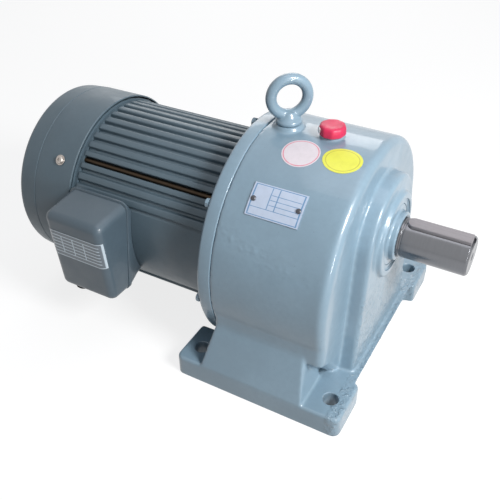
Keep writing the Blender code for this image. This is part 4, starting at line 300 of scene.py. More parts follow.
def apply_modifiers(item):
    """Keep what the modifiers make as the object's own mesh."""
    bpy.context.view_layer.update()
    graph = bpy.context.evaluated_depsgraph_get()
    mesh = bpy.data.meshes.new_from_object(item.evaluated_get(graph))
    item.modifiers.clear()
    old = item.data
    item.data = mesh
    bpy.data.meshes.remove(old)
    mesh.name = item.name


def boolean(target, tool, operation="DIFFERENCE", angle=35.0):
    """Apply a Boolean with the tool and delete the tool; open meshes fall back to the slower solver."""
    before = len(target.data.vertices)
    for solver in ("MANIFOLD", "EXACT"):
        modifier = target.modifiers.new("cut", "BOOLEAN")
        modifier.operation = operation
        modifier.solver = solver
        modifier.object = tool
        apply_modifiers(target)
        if len(target.data.vertices) not in (0, before):
            break
    remove(tool)
    smooth(target, angle)
    return target


def cut_below(item, z):
    """Cut away all that lies under a height."""
    boolean(item, block("below", (-FAR, -FAR, -FAR), (FAR, FAR, z)))


def gathered(name, items):
    """Put several closed meshes into one object without joining their volumes."""
    builder = bmesh.new()
    for item in items:
        builder.from_mesh(item.data)
    result = built(name, builder)
    for item in items:
        remove(item)
    return result


def cast(item, voxel, rounds):
    """Merge overlapping volumes as a casting: remesh them and soften every edge and inner corner."""
    remesh = item.modifiers.new("remesh", "REMESH")
    remesh.mode = "VOXEL"
    remesh.voxel_size = voxel * MM
    remesh.use_smooth_shade = True
    soften = item.modifiers.new("soften", "SMOOTH")
    soften.factor = 0.5
    soften.iterations = rounds
    apply_modifiers(item)
    item.data.shade_smooth()
    return item


def bevelled(item, width, segments):
    """Round the edges of a clean mesh."""
    bevel = item.modifiers.new("bevel", "BEVEL")
    bevel.width = width * MM
    bevel.segments = segments
    bevel.limit_method = "ANGLE"
    bevel.angle_limit = math.radians(20.0)
    apply_modifiers(item)
    smooth(item)
    return item


class Finish:
    """A node material that is built up step by step."""

    def __init__(self, name, metallic=0.0, coat=0.0, coat_roughness=0.1, specular=0.5):
        self.material = bpy.data.materials.new(name)
        self.material.use_nodes = True
        self.tree = self.material.node_tree
        self.shader = self.tree.nodes["Principled BSDF"]
        self.feed(self.shader, {
            "Metallic": metallic,
            "Coat Weight": coat,
            "Coat Roughness": coat_roughness,
            "Specular IOR Level": specular,
        })
        self.place = self.tree.nodes.new("ShaderNodeTexCoord").outputs["Object"]
        self.normal = None

    def put(self, socket, value):
        """Link a socket, or set its number or colour."""
        if isinstance(value, bpy.types.NodeSocket):
            self.tree.links.new(value, socket)
        elif isinstance(value, tuple) and len(value) == 3 and len(socket.default_value) == 4:
            socket.default_value = (*value, 1.0)
        else:
            socket.default_value = value

    def feed(self, item, inputs):
        """Link or set several inputs of a node."""
        for name, value in inputs.items():
            self.put(item.inputs[name], value)
        return item

    def node(self, kind, inputs):
        """A new node with its inputs linked or set."""
        return self.feed(self.tree.nodes.new("ShaderNode" + kind), inputs)

    def stretched(self, scale):
        """Coordinates scaled unevenly."""
        return self.node("Mapping", {"Scale": scale, "Vector": self.place}).outputs["Vector"]

    def noise(self, scale, detail=2.0, roughness=0.5, vector=None, distortion=0.0):
        """Soft noise from 0 to 1."""
        inputs = {"Scale": scale, "Detail": detail, "Roughness": roughness, "Distortion": distortion}
        return self.node("TexNoise", {**inputs, "Vector": vector or self.place}).outputs["Fac"]

    def cells(self, scale):
        """Distance to scattered points."""
        return self.node("TexVoronoi", {"Scale": scale, "Vector": self.place}).outputs["Distance"]

    def span(self, value, low, high, out_low=0.0, out_high=1.0, soft=True):
        """Map a range of values to another."""
        limits = {"From Min": low, "From Max": high, "To Min": out_low, "To Max": out_high}
        ranger = self.node("MapRange", {"Value": value, **limits})
        ranger.interpolation_type = "SMOOTHSTEP" if soft else "LINEAR"
        return ranger.outputs["Result"]

    def sum(self, operation, first, second=0.0):
        """One arithmetic step."""
        step = self.node("Math", {0: first, 1: second})
        step.operation = operation
        return step.outputs[0]

    def times(self, first, second):
        """Product of two values."""
        return self.sum("MULTIPLY", first, second)

    def band(self, value, low, high):
        """1 between two values and 0 outside, with crisp ends."""
        start = self.span(value, low, low + 0.01, soft=False)
        return self.times(start, self.span(value, high, high + 0.01, 1.0, 0.0, soft=False))

    def axis(self, letter):
        """One coordinate, in metres."""
        return self.node("SeparateXYZ", {0: self.place}).outputs[letter]

    def mix(self, factor, first, second):
        """Mix two colours."""
        mixer = self.tree.nodes.new("ShaderNodeMix")
        mixer.data_type = "RGBA"
        return self.feed(mixer, {"Factor": factor, 6: first, 7: second}).outputs[2]

    def bump(self, height, strength, distance):
        """Add a layer of bump, its distance in millimetres."""
        layer = self.node("Bump", {"Strength": strength, "Distance": distance * MM, "Height": height})
        if self.normal is not None:
            self.put(layer.inputs["Normal"], self.normal)
        self.normal = layer.outputs["Normal"]

    def done(self, colour, roughness):
        """Connect colour, roughness and the bump layers."""
        self.feed(self.shader, {"Base Color": colour, "Roughness": roughness})
        if self.normal is not None:
            self.put(self.shader.inputs["Normal"], self.normal)
        return self.material


def shade(colour, amount):
    """A colour made lighter or darker."""
    return tuple(min(1.0, channel * amount) for channel in colour)


def paint(name, colour, roughness, coat, peel=0.35, grain=0.25, cast_marks=0.0, dust=0.12):
    """Brushed or sprayed machine paint: mottled colour, orange peel, specks and a little dust below."""
    finish = Finish(name, coat=coat, coat_roughness=0.07)
    patches = finish.noise(11.0, 3.0, 0.55)
    cloudy = finish.mix(finish.span(patches, 0.35, 0.68), shade(colour, 0.93), shade(colour, 1.06))
    mottle = finish.noise(170.0, 3.0, 0.6)
    coloured = finish.mix(finish.span(mottle, 0.3, 0.75, 0.0, 0.35), cloudy, shade(colour, 0.86))
    spots = finish.span(finish.cells(95.0), 0.035, 0.075, 0.30, 0.0)
    speckled = finish.mix(spots, coloured, shade(colour, 0.45))
    low = finish.span(finish.axis("Z"), 0.0, 0.16, dust, 0.0)
    dusty = finish.mix(finish.times(low, patches), speckled, (0.42, 0.42, 0.40))
    finish.bump(finish.noise(130.0, 2.0, 0.5), peel, 0.22)
    finish.bump(finish.noise(850.0, 3.0, 0.6), grain, 0.06)
    if cast_marks:
        front = finish.span(finish.axis("X"), (TIER_X - 3.0) * MM, (TIER_X - 1.0) * MM)
        below = finish.span(finish.axis("Z"), 0.11, 0.155, 1.0, 0.0)
        lumps = finish.span(finish.noise(190.0, 3.0, 0.6, distortion=0.6), 0.45, 0.75)
        finish.bump(finish.times(finish.times(front, below), lumps), cast_marks, 1.0)
    rough = finish.span(finish.noise(38.0, 3.0, 0.6), 0.25, 0.75, roughness - 0.06, roughness + 0.08)
    return finish.done(dusty, rough)


def steel(name, colour, roughness, lines="X", wear=0.25, metallic=1.0):
    """Machined steel with fine tool lines square to an axis, and faint smears."""
    finish = Finish(name, metallic=metallic)
    scale = {"X": (1.0, 0.02, 0.02), "Y": (0.02, 1.0, 0.02), "Z": (0.02, 0.02, 1.0)}[lines]
    marks = finish.noise(1900.0, 3.0, 0.7, finish.stretched(scale))
    smear = finish.noise(26.0, 4.0, 0.6, distortion=0.8)
    fine = finish.noise(600.0, 2.0, 0.6)
    lined = finish.mix(finish.span(marks, 0.3, 0.7, 0.0, 0.6), shade(colour, 0.90), shade(colour, 1.06))
    stained = finish.mix(finish.span(smear, 0.5, 0.8, 0.0, wear), lined, shade(colour, 0.55))
    finish.bump(marks, 0.10, 0.03)
    finish.bump(fine, 0.06, 0.02)
    rough = finish.span(smear, 0.3, 0.8, roughness, roughness + 0.16)
    return finish.done(stained, rough)


def plastic(name, colour, roughness, grain=0.15):
    """Moulded plastic or rubber with a fine skin and faint clouding."""
    finish = Finish(name)
    clouds = finish.noise(60.0, 3.0, 0.5)
    colour = finish.mix(finish.span(clouds, 0.3, 0.7), shade(colour, 0.9), shade(colour, 1.08))
    finish.bump(finish.noise(500.0, 2.0, 0.5), grain, 0.08)
    rough = finish.span(finish.noise(90.0, 2.0, 0.5), 0.3, 0.7, roughness - 0.05, roughness + 0.07)
    return finish.done(colour, rough)


def windings(name, colour):
    """Enamelled wire laid round the winding head."""
    finish = Finish(name, metallic=0.7)
    strands = finish.noise(700.0, 2.0, 0.6, finish.stretched((1.0, 0.15, 0.15)))
    finish.bump(strands, 0.5, 0.5)
    return finish.done(finish.mix(strands, shade(colour, 0.55), shade(colour, 1.2)), 0.4)


CASE_COLOUR = (0.213, 0.315, 0.395)
MOTOR_COLOUR = (0.088, 0.130, 0.160)
BOX_COLOUR = (0.072, 0.106, 0.134)

LOOKS = {
    "case_paint": paint("case_enamel", CASE_COLOUR, 0.34, 0.55, 0.30, 0.2, cast_marks=0.9, dust=0.05),
    "motor_paint": paint("motor_enamel", MOTOR_COLOUR, 0.45, 0.12, 0.3, 0.3, dust=0.03),
    "box_paint": paint("box_enamel", BOX_COLOUR, 0.42, 0.22, 0.12, 0.1, dust=0.02),
    "shaft_steel": steel("ground_steel", (0.20, 0.205, 0.22), 0.20),
    "key_steel": steel("key_steel", (0.30, 0.285, 0.30), 0.42, "Y", 0.12, 0.85),
    "gear_steel": steel("gear_steel", (0.42, 0.42, 0.43), 0.32),
    "core_steel": steel("laminations", (0.26, 0.26, 0.27), 0.5),
    "bearing_steel": steel("bearing_steel", (0.55, 0.56, 0.58), 0.22),
    "cast_iron": plastic("raw_casting", (0.16, 0.16, 0.165), 0.7, 0.6),
    "copper": windings("copper_wire", (0.55, 0.24, 0.10)),
    "rubber": plastic("rubber", (0.02, 0.02, 0.02), 0.65),
    "fan_plastic": plastic("fan_plastic", (0.03, 0.03, 0.035), 0.5),
    "cap_plastic": plastic("cap_plastic", (0.60, 0.022, 0.085), 0.45, 0.1),
    "zinc_steel": steel("zinc_plating", (0.46, 0.42, 0.39), 0.3, "X", 0.4),
    "rod_steel": steel("dark_rod_steel", (0.060, 0.043, 0.030), 0.42, "X", 0.4),
    "rivet_steel": steel("rivet_steel", (0.10, 0.10, 0.11), 0.35, "X", 0.3),
    "white_dab": plastic("marking_paint", (0.85, 0.84, 0.85), 0.45),
    "plate_aluminium": steel("plate_aluminium", (0.70, 0.73, 0.80), 0.35, "X", 0.1, 0.7),
    "terminal_resin": plastic("terminal_resin", (0.05, 0.03, 0.02), 0.5),
}


def wear(item, look):
    """Give an object one material."""
    item.data.materials.clear()
    item.data.materials.append(LOOKS[look])


def finish_piece(item, slot, look=None, replaced=(), body="housing"):
    """Give a piece its material, from its look or else its slot, put it under its body and hide the frame nodes
    that it stands for.
    """
    wear(item, look or slot)
    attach(item, body)
    if replaced:
        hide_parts(*replaced)
    return item


def dress_frame_nodes():
    """Better materials on the nodes that stay as they are."""
    slots = {part["node"]: part["material_slot"] for part in frame["record"]["subparts"]}
    for name, item in frame["nodes"].items():
        wear(item, slots[name])


def inset(points, amount):
    """Move every point of a closed outline inwards."""
    area = 0.0
    for index, (x, y) in enumerate(points):
        area += points[index - 1][0] * y - x * points[index - 1][1]
    result = []
    for index, point in enumerate(points):
        along = Vector(points[(index + 1) % len(points)]) - Vector(points[index - 1])
        inward = Vector((-along.y, along.x)).normalized() * math.copysign(amount, area)
        result.append(tuple(Vector(point) + inward))
    return result


def foot_outline():
    """The foot seen from above."""
    front = TIER_X - 2.5
    corner = 9.0
    rear_x = CASE_LOW.x
    front_x = CASE_HIGH.x
    right = arc((front + PAD_FILLET, PAD_Y - PAD_FILLET), PAD_FILLET, 180, 90, 8)
    right += arc((front_x - corner / 2, PAD_Y + corner / 2), corner / 2, -90, 0, 6)
    right += arc((front_x - corner, FOOT_Y - corner), corner, 0, 90, 10)
    right += arc((rear_x + corner, FOOT_Y - corner), corner, 90, 180, 10)
    right += arc((rear_x + corner / 2, PAD_Y + corner / 2), corner / 2, 180, 270, 6)
    right += [(SEAM_X, PAD_Y)]
    return right + [(x, -y) for x, y in reversed(right)]


def tier_outline(shrink):
    """The raised front tier: round over the output shaft, widening to the foot."""
    radius = TIER_R - shrink
    foot = TIER_FOOT - shrink
    reach = math.hypot(foot, OUTPUT_Z)
    start = math.degrees(math.atan2(-OUTPUT_Z, foot) + math.acos(radius / reach))
    points = [(foot, -2.0)]
    points += arc((0.0, OUTPUT_Z), radius, start, 180 - start, 48)
    return points + [(-foot, -2.0)]


def wall_top():
    """Height at which the flat side wall leaves the round of the case."""
    return MOTOR_Z - math.sqrt(CASE_R ** 2 - WALL_Y ** 2)


def flare(side):
    """The web between two pads, from the foot's outer edge up to the flat side wall."""
    low_z = FOOT_TOP - 3.5
    high = wall_top() - 1.0
    inner = WALL_Y - 14.0
    profile = [
        (PAD_Y + 6.0, low_z),
        (FOOT_Y - 0.2, low_z),
        (FOOT_Y - 0.2, FOOT_TOP),
        (WALL_Y + 1.2, FLARE_TOP - 3.0),
        (WALL_Y + 0.1, FLARE_TOP + 2.5),
        (WALL_Y, high),
        (inner, high),
    ]
    rear = []
    front = []
    for y, z in profile:
        share = min(1.0, (z - FOOT_TOP) / (FLARE_TOP - FOOT_TOP))
        rear.append((FLARE_REAR_X - FLARE_REAR_SPREAD * (1.0 - share), side * y, z))
        front.append((FLARE_FRONT_X - FLARE_DRAFT * share, side * y, z))
    web = loft("flare", [rear, front])
    room = rod("room", (SEAM_X, 0.0, MOTOR_Z), 0.0, 200.0, CASE_R + 1.5, ROUND, (-1, 0, 0))
    return boolean(web, room)


def side_wall(side):
    """The flat side of the case below its round, with the same rounded front edge."""
    high = wall_top() + 0.5
    inner = WALL_Y - 20.0
    stations = [(FLARE_REAR_X, 0.0)]
    for step in range(9):
        turn = math.radians(88.0 * step / 8)
        stations.append((FRONT_X - CASE_EDGE * (1.0 - math.sin(turn)), CASE_EDGE * (1.0 - math.cos(turn))))
    sections = []
    for x, inward in stations:
        outer = WALL_Y - inward
        profile = [
            (inner, WALL_LOW_Z - 10.0),
            (outer - 4.5, WALL_LOW_Z - 3.5),
            (outer, WALL_LOW_Z),
            (outer, high),
            (inner, high),
        ]
        sections.append([(x, side * y, z) for y, z in profile])
    return loft("side_wall", sections)


def build_case():
    """The painted casting, with soft cast edges and the machined bores and holes cut afterwards."""
    shapes = [turned("body", [
        (SEAM_X, 0.0),
        (SEAM_X, CASE_R),
        (FRONT_X, CASE_R, CASE_EDGE),
        (FRONT_X, 0.0),
    ], MOTOR_Z, steps=8)]
    outline = foot_outline()
    shapes.append(loft("foot", [
        [(x, y, -4.0) for x, y in outline],
        [(x, y, FOOT_TOP - 2.0) for x, y in outline],
        [(x, y, FOOT_TOP) for x, y in inset(outline, 1.6)],
    ]))
    shapes.append(loft("tier", [
        [(FRONT_X - 6.0, y, z) for y, z in tier_outline(-1.5)],
        [(TIER_X - TIER_EDGE, y, z) for y, z in tier_outline(0.0)],
        [(TIER_X - TIER_EDGE * 0.3, y, z) for y, z in tier_outline(TIER_EDGE * 0.3)],
        [(TIER_X, y, z) for y, z in tier_outline(TIER_EDGE)],
    ]))
    shapes += [flare(-1), flare(1), side_wall(-1), side_wall(1)]
    top_z = MOTOR_Z + CASE_R
    eye_seat = [(-12.0, 17.5), (0.0, 17.0), (CASE_HIGH.z - top_z, 15.5)]
    cap_seat = [(-9.0, 13.5), (-2.0, 13.0), (3.0, 11.5)]
    for x, seat in ((EYE_X, eye_seat), (CAP_X, cap_seat)):
        shapes.append(lathe_on("seat", seat, (x, 0.0, top_z), UPWARD))
    shapes.append(turned("boss", [
        (TIER_X - 9.0, 0.0),
        (TIER_X - 9.0, BOSS_R + 3.0),
        (TIER_X, BOSS_R + 2.0),
        (BOSS_X, BOSS_R, 2.0),
        (BOSS_X, 0.0),
    ], OUTPUT_Z))
    case = cast(gathered("gear_case_casting", shapes), CAST_VOXEL, 7)
    roughen(case)

    cut_below(case, 0.0)
    boolean(case, block("behind", (-FAR, -PAD_Y + 1.0, -FAR), (SEAM_X, PAD_Y - 1.0, FAR)))
    inner_x = SEAM_X + CAVITY_DEPTH
    hollow = turned("hollow", [
        (SEAM_X - 2.0, 0.0),
        (SEAM_X - 2.0, CAVITY_R),
        (inner_x, CAVITY_R - 5.0, 6.0),
        (inner_x, 0.0),
    ], MOTOR_Z)
    cut_below(hollow, FLOOR)
    boolean(hollow, rod("pocket_wall", (SEAM_X + 108.0, 0.0, PINION_Z), 0.0, 30.0, POCKET_WALL_R))
    boolean(case, hollow)
    seal_r = SEAL_HIGH.z - OUTPUT_Z + GAP
    boolean(case, turned("bores", [
        (inner_x - 2.0, 0.0),
        (inner_x - 2.0, BEARING_R + GAP),
        (inner_x + 21.3, BEARING_R + GAP),
        (inner_x + 21.3, seal_r - 4.0),
        (SEAL_LOW.x - GAP, seal_r - 4.0),
        (SEAL_LOW.x - GAP, seal_r),
        (BOSS_X - 2.0, seal_r),
        (BOSS_X - 2.0, 42.0, 0.6),
        (BOSS_X + 3.0, 43.0),
        (BOSS_X + 3.0, 0.0),
    ], OUTPUT_Z, 96))
    holes = []
    for x in (-HOLE_X, HOLE_X):
        for y in (-HOLE_Y, HOLE_Y):
            holes.append(lathe_on("hole", [
                (-3.0, HOLE_R),
                (FOOT_TOP - 0.8, HOLE_R),
                (FOOT_TOP + 3.0, HOLE_R + 3.0),
            ], (x, y, 0.0), UPWARD))
    holes.append(rod("hole", (EYE_X, 0.0, CASE_HIGH.z), -12.0, 3.0, EYE_SHANK_R + GAP, 24, UPWARD))
    holes.append(rod("hole", (CAP_X, 0.0, top_z + 1.0), -14.0, 5.0, CAP_STEM_R + GAP, 24, UPWARD))
    boolean(case, gathered("holes", holes))
    return finish_piece(case, "case_paint", replaced=("gear_case",))


FLANK_Z = 203.0
FLANK_FALL = 0.17
FLANK_HALF = 17.0


def roughen(case):
    """Cast lumps on the lower front and on the near flank, and slow waves in the long reflections."""
    moved = []
    for vertex in case.data.vertices:
        place = vertex.co / MM
        wave = noise.noise(place / 38.0) * 0.12
        front = clamped((place.x - TIER_X + 2.0) / 1.5)
        low = clamped((150.0 - place.z) / 40.0)
        above_edge = clamped((place.z - 6.0) / 10.0)
        lumps = max(0.0, noise.noise(place / 4.5) + 0.4 * noise.noise(place / 2.2)) * 0.8
        off_line = abs(place.z - FLANK_Z + FLANK_FALL * (place.x - SEAM_X))
        outside = clamped((-place.y - 100.0) / 10.0)
        rearward = clamped(1.3 - (place.x - SEAM_X) / 130.0)
        flank = max(0.0, 1.0 - off_line / FLANK_HALF) * (outside * rearward)
        rough = max(front * low * above_edge, 0.8 * flank)
        moved.append(vertex.co + vertex.normal * (wave + rough * lumps) * MM)
    for vertex, place in zip(case.data.vertices, moved):
        vertex.co = place


def build_flange():
    """The motor's front bracket with its rounded rim, and its bolts."""
    spigot = CAVITY_R - GAP
    front = SEAM_X - GAP
    rear = FRAME_HIGH.x + GAP
    hub_rear = FLANGE_LOW.x
    flange = turned("motor_flange_ring", [
        (hub_rear, 32.0),
        (hub_rear, 39.0, 2.0),
        (rear, 41.0, 3.0),
        (rear, 87.0),
        (rear - 6.0, 87.0, 0.6),
        (rear - 6.0, FRAME_SPIGOT_R, 0.6),
        (rear, FRAME_SPIGOT_R),
        (rear, CASE_R, 3.5),
        (front, CASE_R, 1.2),
        (front, spigot),
        (front + 6.0, spigot, 0.8),
        (front + 6.0, spigot - 9.0, 0.8),
        (front, spigot - 9.0),
        (front, 20.3),
        (front - 9.0, 20.3),
        (front - 9.0, 17.0),
        (hub_rear + 17.3, 17.0),
        (hub_rear + 17.3, 32.0),
    ], MOTOR_Z, closed=True)
    cut_below(flange, FLANGE_LOW.z)
    boolean(flange, block("below", (front, -FAR, -FAR), (FAR, FAR, FLOOR + GAP)))
    holes = []
    for index in range(BOLTS):
        middle = node_middle(f"flange_bolt_{index + 1}")
        holes.append(rod("hole", middle, -30.0, 30.0, BOLT_SHANK_R + GAP, 20))
    for index in range(4):
        middle = node_middle(f"tie_rod_{index + 1}")
        holes.append(rod("hole", (rear, middle.y, middle.z), -2.0, 11.0, ROD_SHANK_R + GAP, 20))
    boolean(flange, gathered("holes", holes))
    wall = [(-2.0, POCKET_WALL_R), (6.2, POCKET_WALL_R, 0.8), (6.2, POCKET_WALL_R - 4.0)]
    boolean(flange, lathe_on("wall", wall, (front, 0.0, PINION_Z), ALONG, 64), "UNION")
    boolean(flange, rod("pocket", (front - 1.3, 0.0, PINION_Z), -8.0, 16.0, POCKET_R + GAP, 64))
    finish_piece(flange, "case_paint", replaced=("motor_flange",))
    for index in range(BOLTS):
        build_flange_bolt(index + 1)


def build_flange_bolt(number):
    """A hexagon bolt along X with a chamfered head and a plain shank."""
    node = f"flange_bolt_{number}"
    place, length = node_bar(node)
    bolt = rod(f"flange_hex_bolt_{number}", place, 0.0, BOLT_HEAD, BOLT_HEAD_R, 6)
    rim = BOLT_HEAD_R * 1.02
    cone = [(-0.01, BOLT_HEAD_R * 0.82), (1.2, rim), (BOLT_HEAD + 1.0, rim)]
    boolean(bolt, lathe_on("cone", cone, place, ALONG), "INTERSECT")
    boolean(bolt, lathe_on("shank", [
        (BOLT_HEAD - 1.0, BOLT_SHANK_R),
        (length - 0.6, BOLT_SHANK_R),
        (length, BOLT_SHANK_R - 0.6),
    ], place, ALONG, 24), "UNION")
    finish_piece(bolt, "zinc_steel", "case_paint", (node,))


FIN_TIP_R = 110.5
FIN_ROOT_R = 105.6
PANEL_R = 108.5
ROD_ANGLE = 44.0
ROD_GROOVE_R = 99.0
ROD_GROOVE_HALF = 2.2
FINS_ABOVE = 13
FINS_BESIDE = 12
PANEL_START = 157.0
PANEL_END = 218.0


def quarter_angles(first):
    """Four angles placed alike in the four quarters."""
    return [first, 180.0 - first, 180.0 + first, 360.0 - first]


def frame_outline():
    """The finned frame in cross-section, with round fin tips and groove floors."""
    grooves = quarter_angles(ROD_ANGLE)
    corners = []
    for index, count in enumerate((FINS_ABOVE, FINS_BESIDE, FINS_ABOVE, FINS_BESIDE)):
        start = grooves[index]
        pitch = ((grooves[(index + 1) % 4] - start) % 360.0) / count
        for fin in range(count):
            centre = start + pitch * (fin + 0.5)
            if PANEL_START < centre < PANEL_END:
                for share in (-0.36, -0.12, 0.12, 0.36):
                    corners.append((*polar(PANEL_R, centre + pitch * share), 2.0))
                continue
            for side, at_rod in ((-1, fin == 0), (1, fin == count - 1)):
                root = (FIN_ROOT_R, centre + side * pitch * 0.365, 1.5)
                tip = (FIN_TIP_R, centre + side * pitch * 0.285, 1.6)
                if at_rod:
                    groove = centre + side * (pitch / 2 - ROD_GROOVE_HALF)
                    root = (ROD_GROOVE_R, groove, 0.8)
                    tip = (FIN_TIP_R, groove, 1.3)
                crown = [(FIN_TIP_R, centre, 6.0)] if side < 0 else []
                order = (root, tip) if side < 0 else (tip, root)
                for radius, angle, fillet in (*order, *crown):
                    corners.append((*polar(radius, angle), fillet))
    return filleted(corners, 3, True)


def build_motor_frame():
    """Finned aluminium frame of the motor."""
    outline = frame_outline()
    low_x = FRAME_LOW.x
    high_x = FRAME_HIGH.x

    def ring(x, shrink):
        points = []
        for y, z in outline:
            offset = Vector((y, z - MOTOR_Z))
            offset *= (offset.length - shrink) / offset.length
            points.append((x, offset.x, MOTOR_Z + offset.y))
        return points

    frame_piece = loft("motor_frame_fins", [
        ring(low_x, 0.8), ring(low_x + 0.8, 0.0), ring(high_x - 0.8, 0.0), ring(high_x, 0.8)])
    bore = rod("bore", (low_x, 0.0, MOTOR_Z), -2.0, high_x - low_x + 4.0, FRAME_SPIGOT_R + GAP, ROUND)
    boolean(frame_piece, bore, angle=28.0)
    finish_piece(frame_piece, "motor_paint", replaced=("motor_frame",))
    for index in range(4):
        node = f"tie_rod_{index + 1}"
        place, length = node_bar(node)
        rod_piece = lathe_on(f"tie_rod_screw_{index + 1}", [
            (0.0, 2.2),
            (0.0, 4.5, 0.8),
            (6.0, 4.5, 0.2),
            (6.0, ROD_SHANK_R),
            (length - 0.6, ROD_SHANK_R),
            (length, ROD_SHANK_R - 0.6),
        ], place, ALONG, 32)
        boolean(rod_piece, rod("socket", place, -1.0, 3.0, 2.6, 6))
        finish_piece(rod_piece, "rod_steel", replaced=(node,))


COVER_FRONT_R = 116.6
COVER_CREASE_R = 116.2
COVER_REAR_R = 114.5
COVER_GROOVE = 0.7
COVER_WALL = 2.0
COVER_CREASE = 30.0
COVER_CORNER = 9.0
COVER_TAPER = 56.0
VENTS = ((34.0, 46.0, 6), (54.0, 66.0, 8), (74.0, 86.0, 8))
VENT_RIB = 7.0


def build_fan_cover():
    """Pressed fan cover: a cup with a rounded rear edge, rings of slots and a folded front rim."""
    front = COVER_HIGH.x
    rear = COVER_LOW.x
    crease = rear + COVER_CREASE
    wall = COVER_WALL
    corner = COVER_CORNER
    bend = arc((rear + corner, COVER_REAR_R - corner), corner, 180, 92, 10)
    inner_bend = arc((rear + corner, COVER_REAR_R - corner), corner - wall, 92, 180, 10)
    profile = [(rear, 0.0)] + bend
    profile += [
        (crease - 1.0, COVER_CREASE_R, 0.5),
        (crease, COVER_CREASE_R - COVER_GROOVE, 0.4),
        (crease + 1.0, COVER_CREASE_R, 0.5),
        (front - 1.0, COVER_FRONT_R, 0.7),
        (front, COVER_FRONT_R - 0.8, 0.5),
        (front, COVER_FRONT_R - wall, 0.3),
        (crease, COVER_CREASE_R - wall, 2.0),
    ]
    profile += inner_bend + [(rear + wall, 0.0)]
    cover = turned("fan_cover_pressing", profile, MOTOR_Z, steps=6)
    cutters = []
    for inner, outer, count in VENTS:
        half = 180.0 / count - math.degrees(VENT_RIB / 2 / inner)
        for index in range(count):
            centre = 360.0 * (index + 0.5) / count
            low = arc((0.0, MOTOR_Z), inner, centre - half, centre + half, 8)
            high = arc((0.0, MOTOR_Z), outer, centre + half, centre - half, 8)
            points = []
            for line in (low, high):
                points += [(*point, 3.0 if spot in (0, 8) else 0.0) for spot, point in enumerate(line)]
            cutters.append(prism("slot", filleted(points, 4, True), rear - 2.0, rear + wall + 2.0))
    for index in range(4):
        centre, outward = cover_screw_place(index + 1)
        cutters.append(rod("hole", centre, -9.0, 9.0, 2.8, 20, outward))
    boolean(cover, gathered("vents", cutters))
    finish_piece(cover, "motor_paint", replaced=("fan_cover",))
    for index in range(4):
        build_cover_screw(index + 1)


def cover_screw_place(number):
    """A fan cover screw's point on the cover's surface and its outward direction."""
    centre = node_middle(f"fan_cover_screw_{number}")
    outward = Vector((0.0, centre.y, centre.z - MOTOR_Z)).normalized()
    taper = COVER_FRONT_R - COVER_CREASE_R
    surface = COVER_FRONT_R - taper * (COVER_HIGH.x - centre.x) / COVER_TAPER
    return Vector((centre.x, 0.0, MOTOR_Z)) + outward * surface, outward


def build_cover_screw(number):
    """Pan head screw with a cross recess, on a plain washer."""
    place, outward = cover_screw_place(number)
    seat = GAP + 0.2
    screw = lathe_on(f"fan_cover_pan_screw_{number}", [
        (-9.0, 1.6),
        (-8.0, 2.5),
        (seat, 2.5),
        (seat, 6.5, 0.15),
        (seat + 1.0, 6.5, 0.3),
        (seat + 1.0, 5.2),
        (seat + 1.6, 5.2, 0.4),
        (seat + 3.4, 4.3, 2.2),
        (seat + 4.0, 1.5),
    ], place, outward, 40, 4)
    across = Vector(ALONG)
    other = outward.cross(across)
    for first, second in ((across, other), (other, across)):
        sections = []
        for height, half in ((seat + 2.2, 2.0), (seat + 5.0, 2.7)):
            corners = []
            for a, b in ((-1, -1), (1, -1), (1, 1), (-1, 1)):
                corners.append(place + outward * height + first * half * a + second * 0.5 * b)
            sections.append(corners)
        boolean(screw, loft("slot", sections))
    finish_piece(screw, "zinc_steel", replaced=(f"fan_cover_screw_{number}",))


BOX_CENTRE_X = (BOX_LOW.x + BOX_HIGH.x) / 2
BOX_HALF = (BOX_HIGH.x - BOX_LOW.x) / 2
PARTING_FOOT_Y = BOX_HIGH.y - 3.0
PARTING_TOP_Y = BOX_HIGH.y + 14.0
BOX_FRONT_Y = BOX_LOW.y
BOX_LEAN = 8.0
BOX_TOP_FRONT_Z = 183.5
BOX_WALL = 3.5
BOX_CORNER = 10.0
BOX_DRAFT = 1.6
HOOD_OVERSHOOT = 24.0
PARTING_JOINT = 0.25


def parting_y(z):
    """The slanted plane in which the hood meets its base."""
    return PARTING_FOOT_Y + (PARTING_TOP_Y - PARTING_FOOT_Y) * (z - BOX_LOW.z) / (BOX_HIGH.z - BOX_LOW.z)


def hood(name, inward):
    """The terminal cover's outer or inner form, before its open side is cut."""
    half = BOX_HALF - inward
    low = BOX_LOW.z + inward
    top = BOX_HIGH.z - inward
    front = BOX_FRONT_Y + inward
    side_view = [
        (parting_y(low) + HOOD_OVERSHOOT, low, 0.0),
        (front + BOX_LEAN, low, BOX_DRAFT),
        (front, BOX_TOP_FRONT_Z - inward, BOX_DRAFT),
        (parting_y(top) + HOOD_OVERSHOOT, top, 0.0),
    ]
    sections = []
    for side in (-1, 1):
        sections.append([(BOX_CENTRE_X + side * (half - draft), y, z) for y, z, draft in side_view])
    return loft(name, sections)


def build_terminal_cover():
    """The hooded cover, open along the parting plane and held a narrow joint off its base."""
    cover = bevelled(hood("terminal_cover_hood", 0.0), BOX_CORNER, 8)
    behind = [(parting_y(-FAR), -FAR), (FAR, -FAR), (FAR, FAR), (parting_y(FAR), FAR)]
    boolean(cover, prism("open", behind, -FAR, FAR))
    boolean(cover, bevelled(hood("inside", BOX_WALL), BOX_CORNER - BOX_WALL, 5))
    plug = node_middle("cable_entry_plug")
    boolean(cover, rod("entry", (plug.x, plug.y, BOX_LOW.z), -3.0, 8.0, PLUG_R + GAP, along=UPWARD))
    for vertex in cover.data.vertices:
        if abs(vertex.co.y / MM - parting_y(vertex.co.z / MM)) < 0.01:
            vertex.co.y -= PARTING_JOINT * MM
    finish_piece(cover, "motor_paint", "box_paint", ("terminal_box_cover",))
    return cover


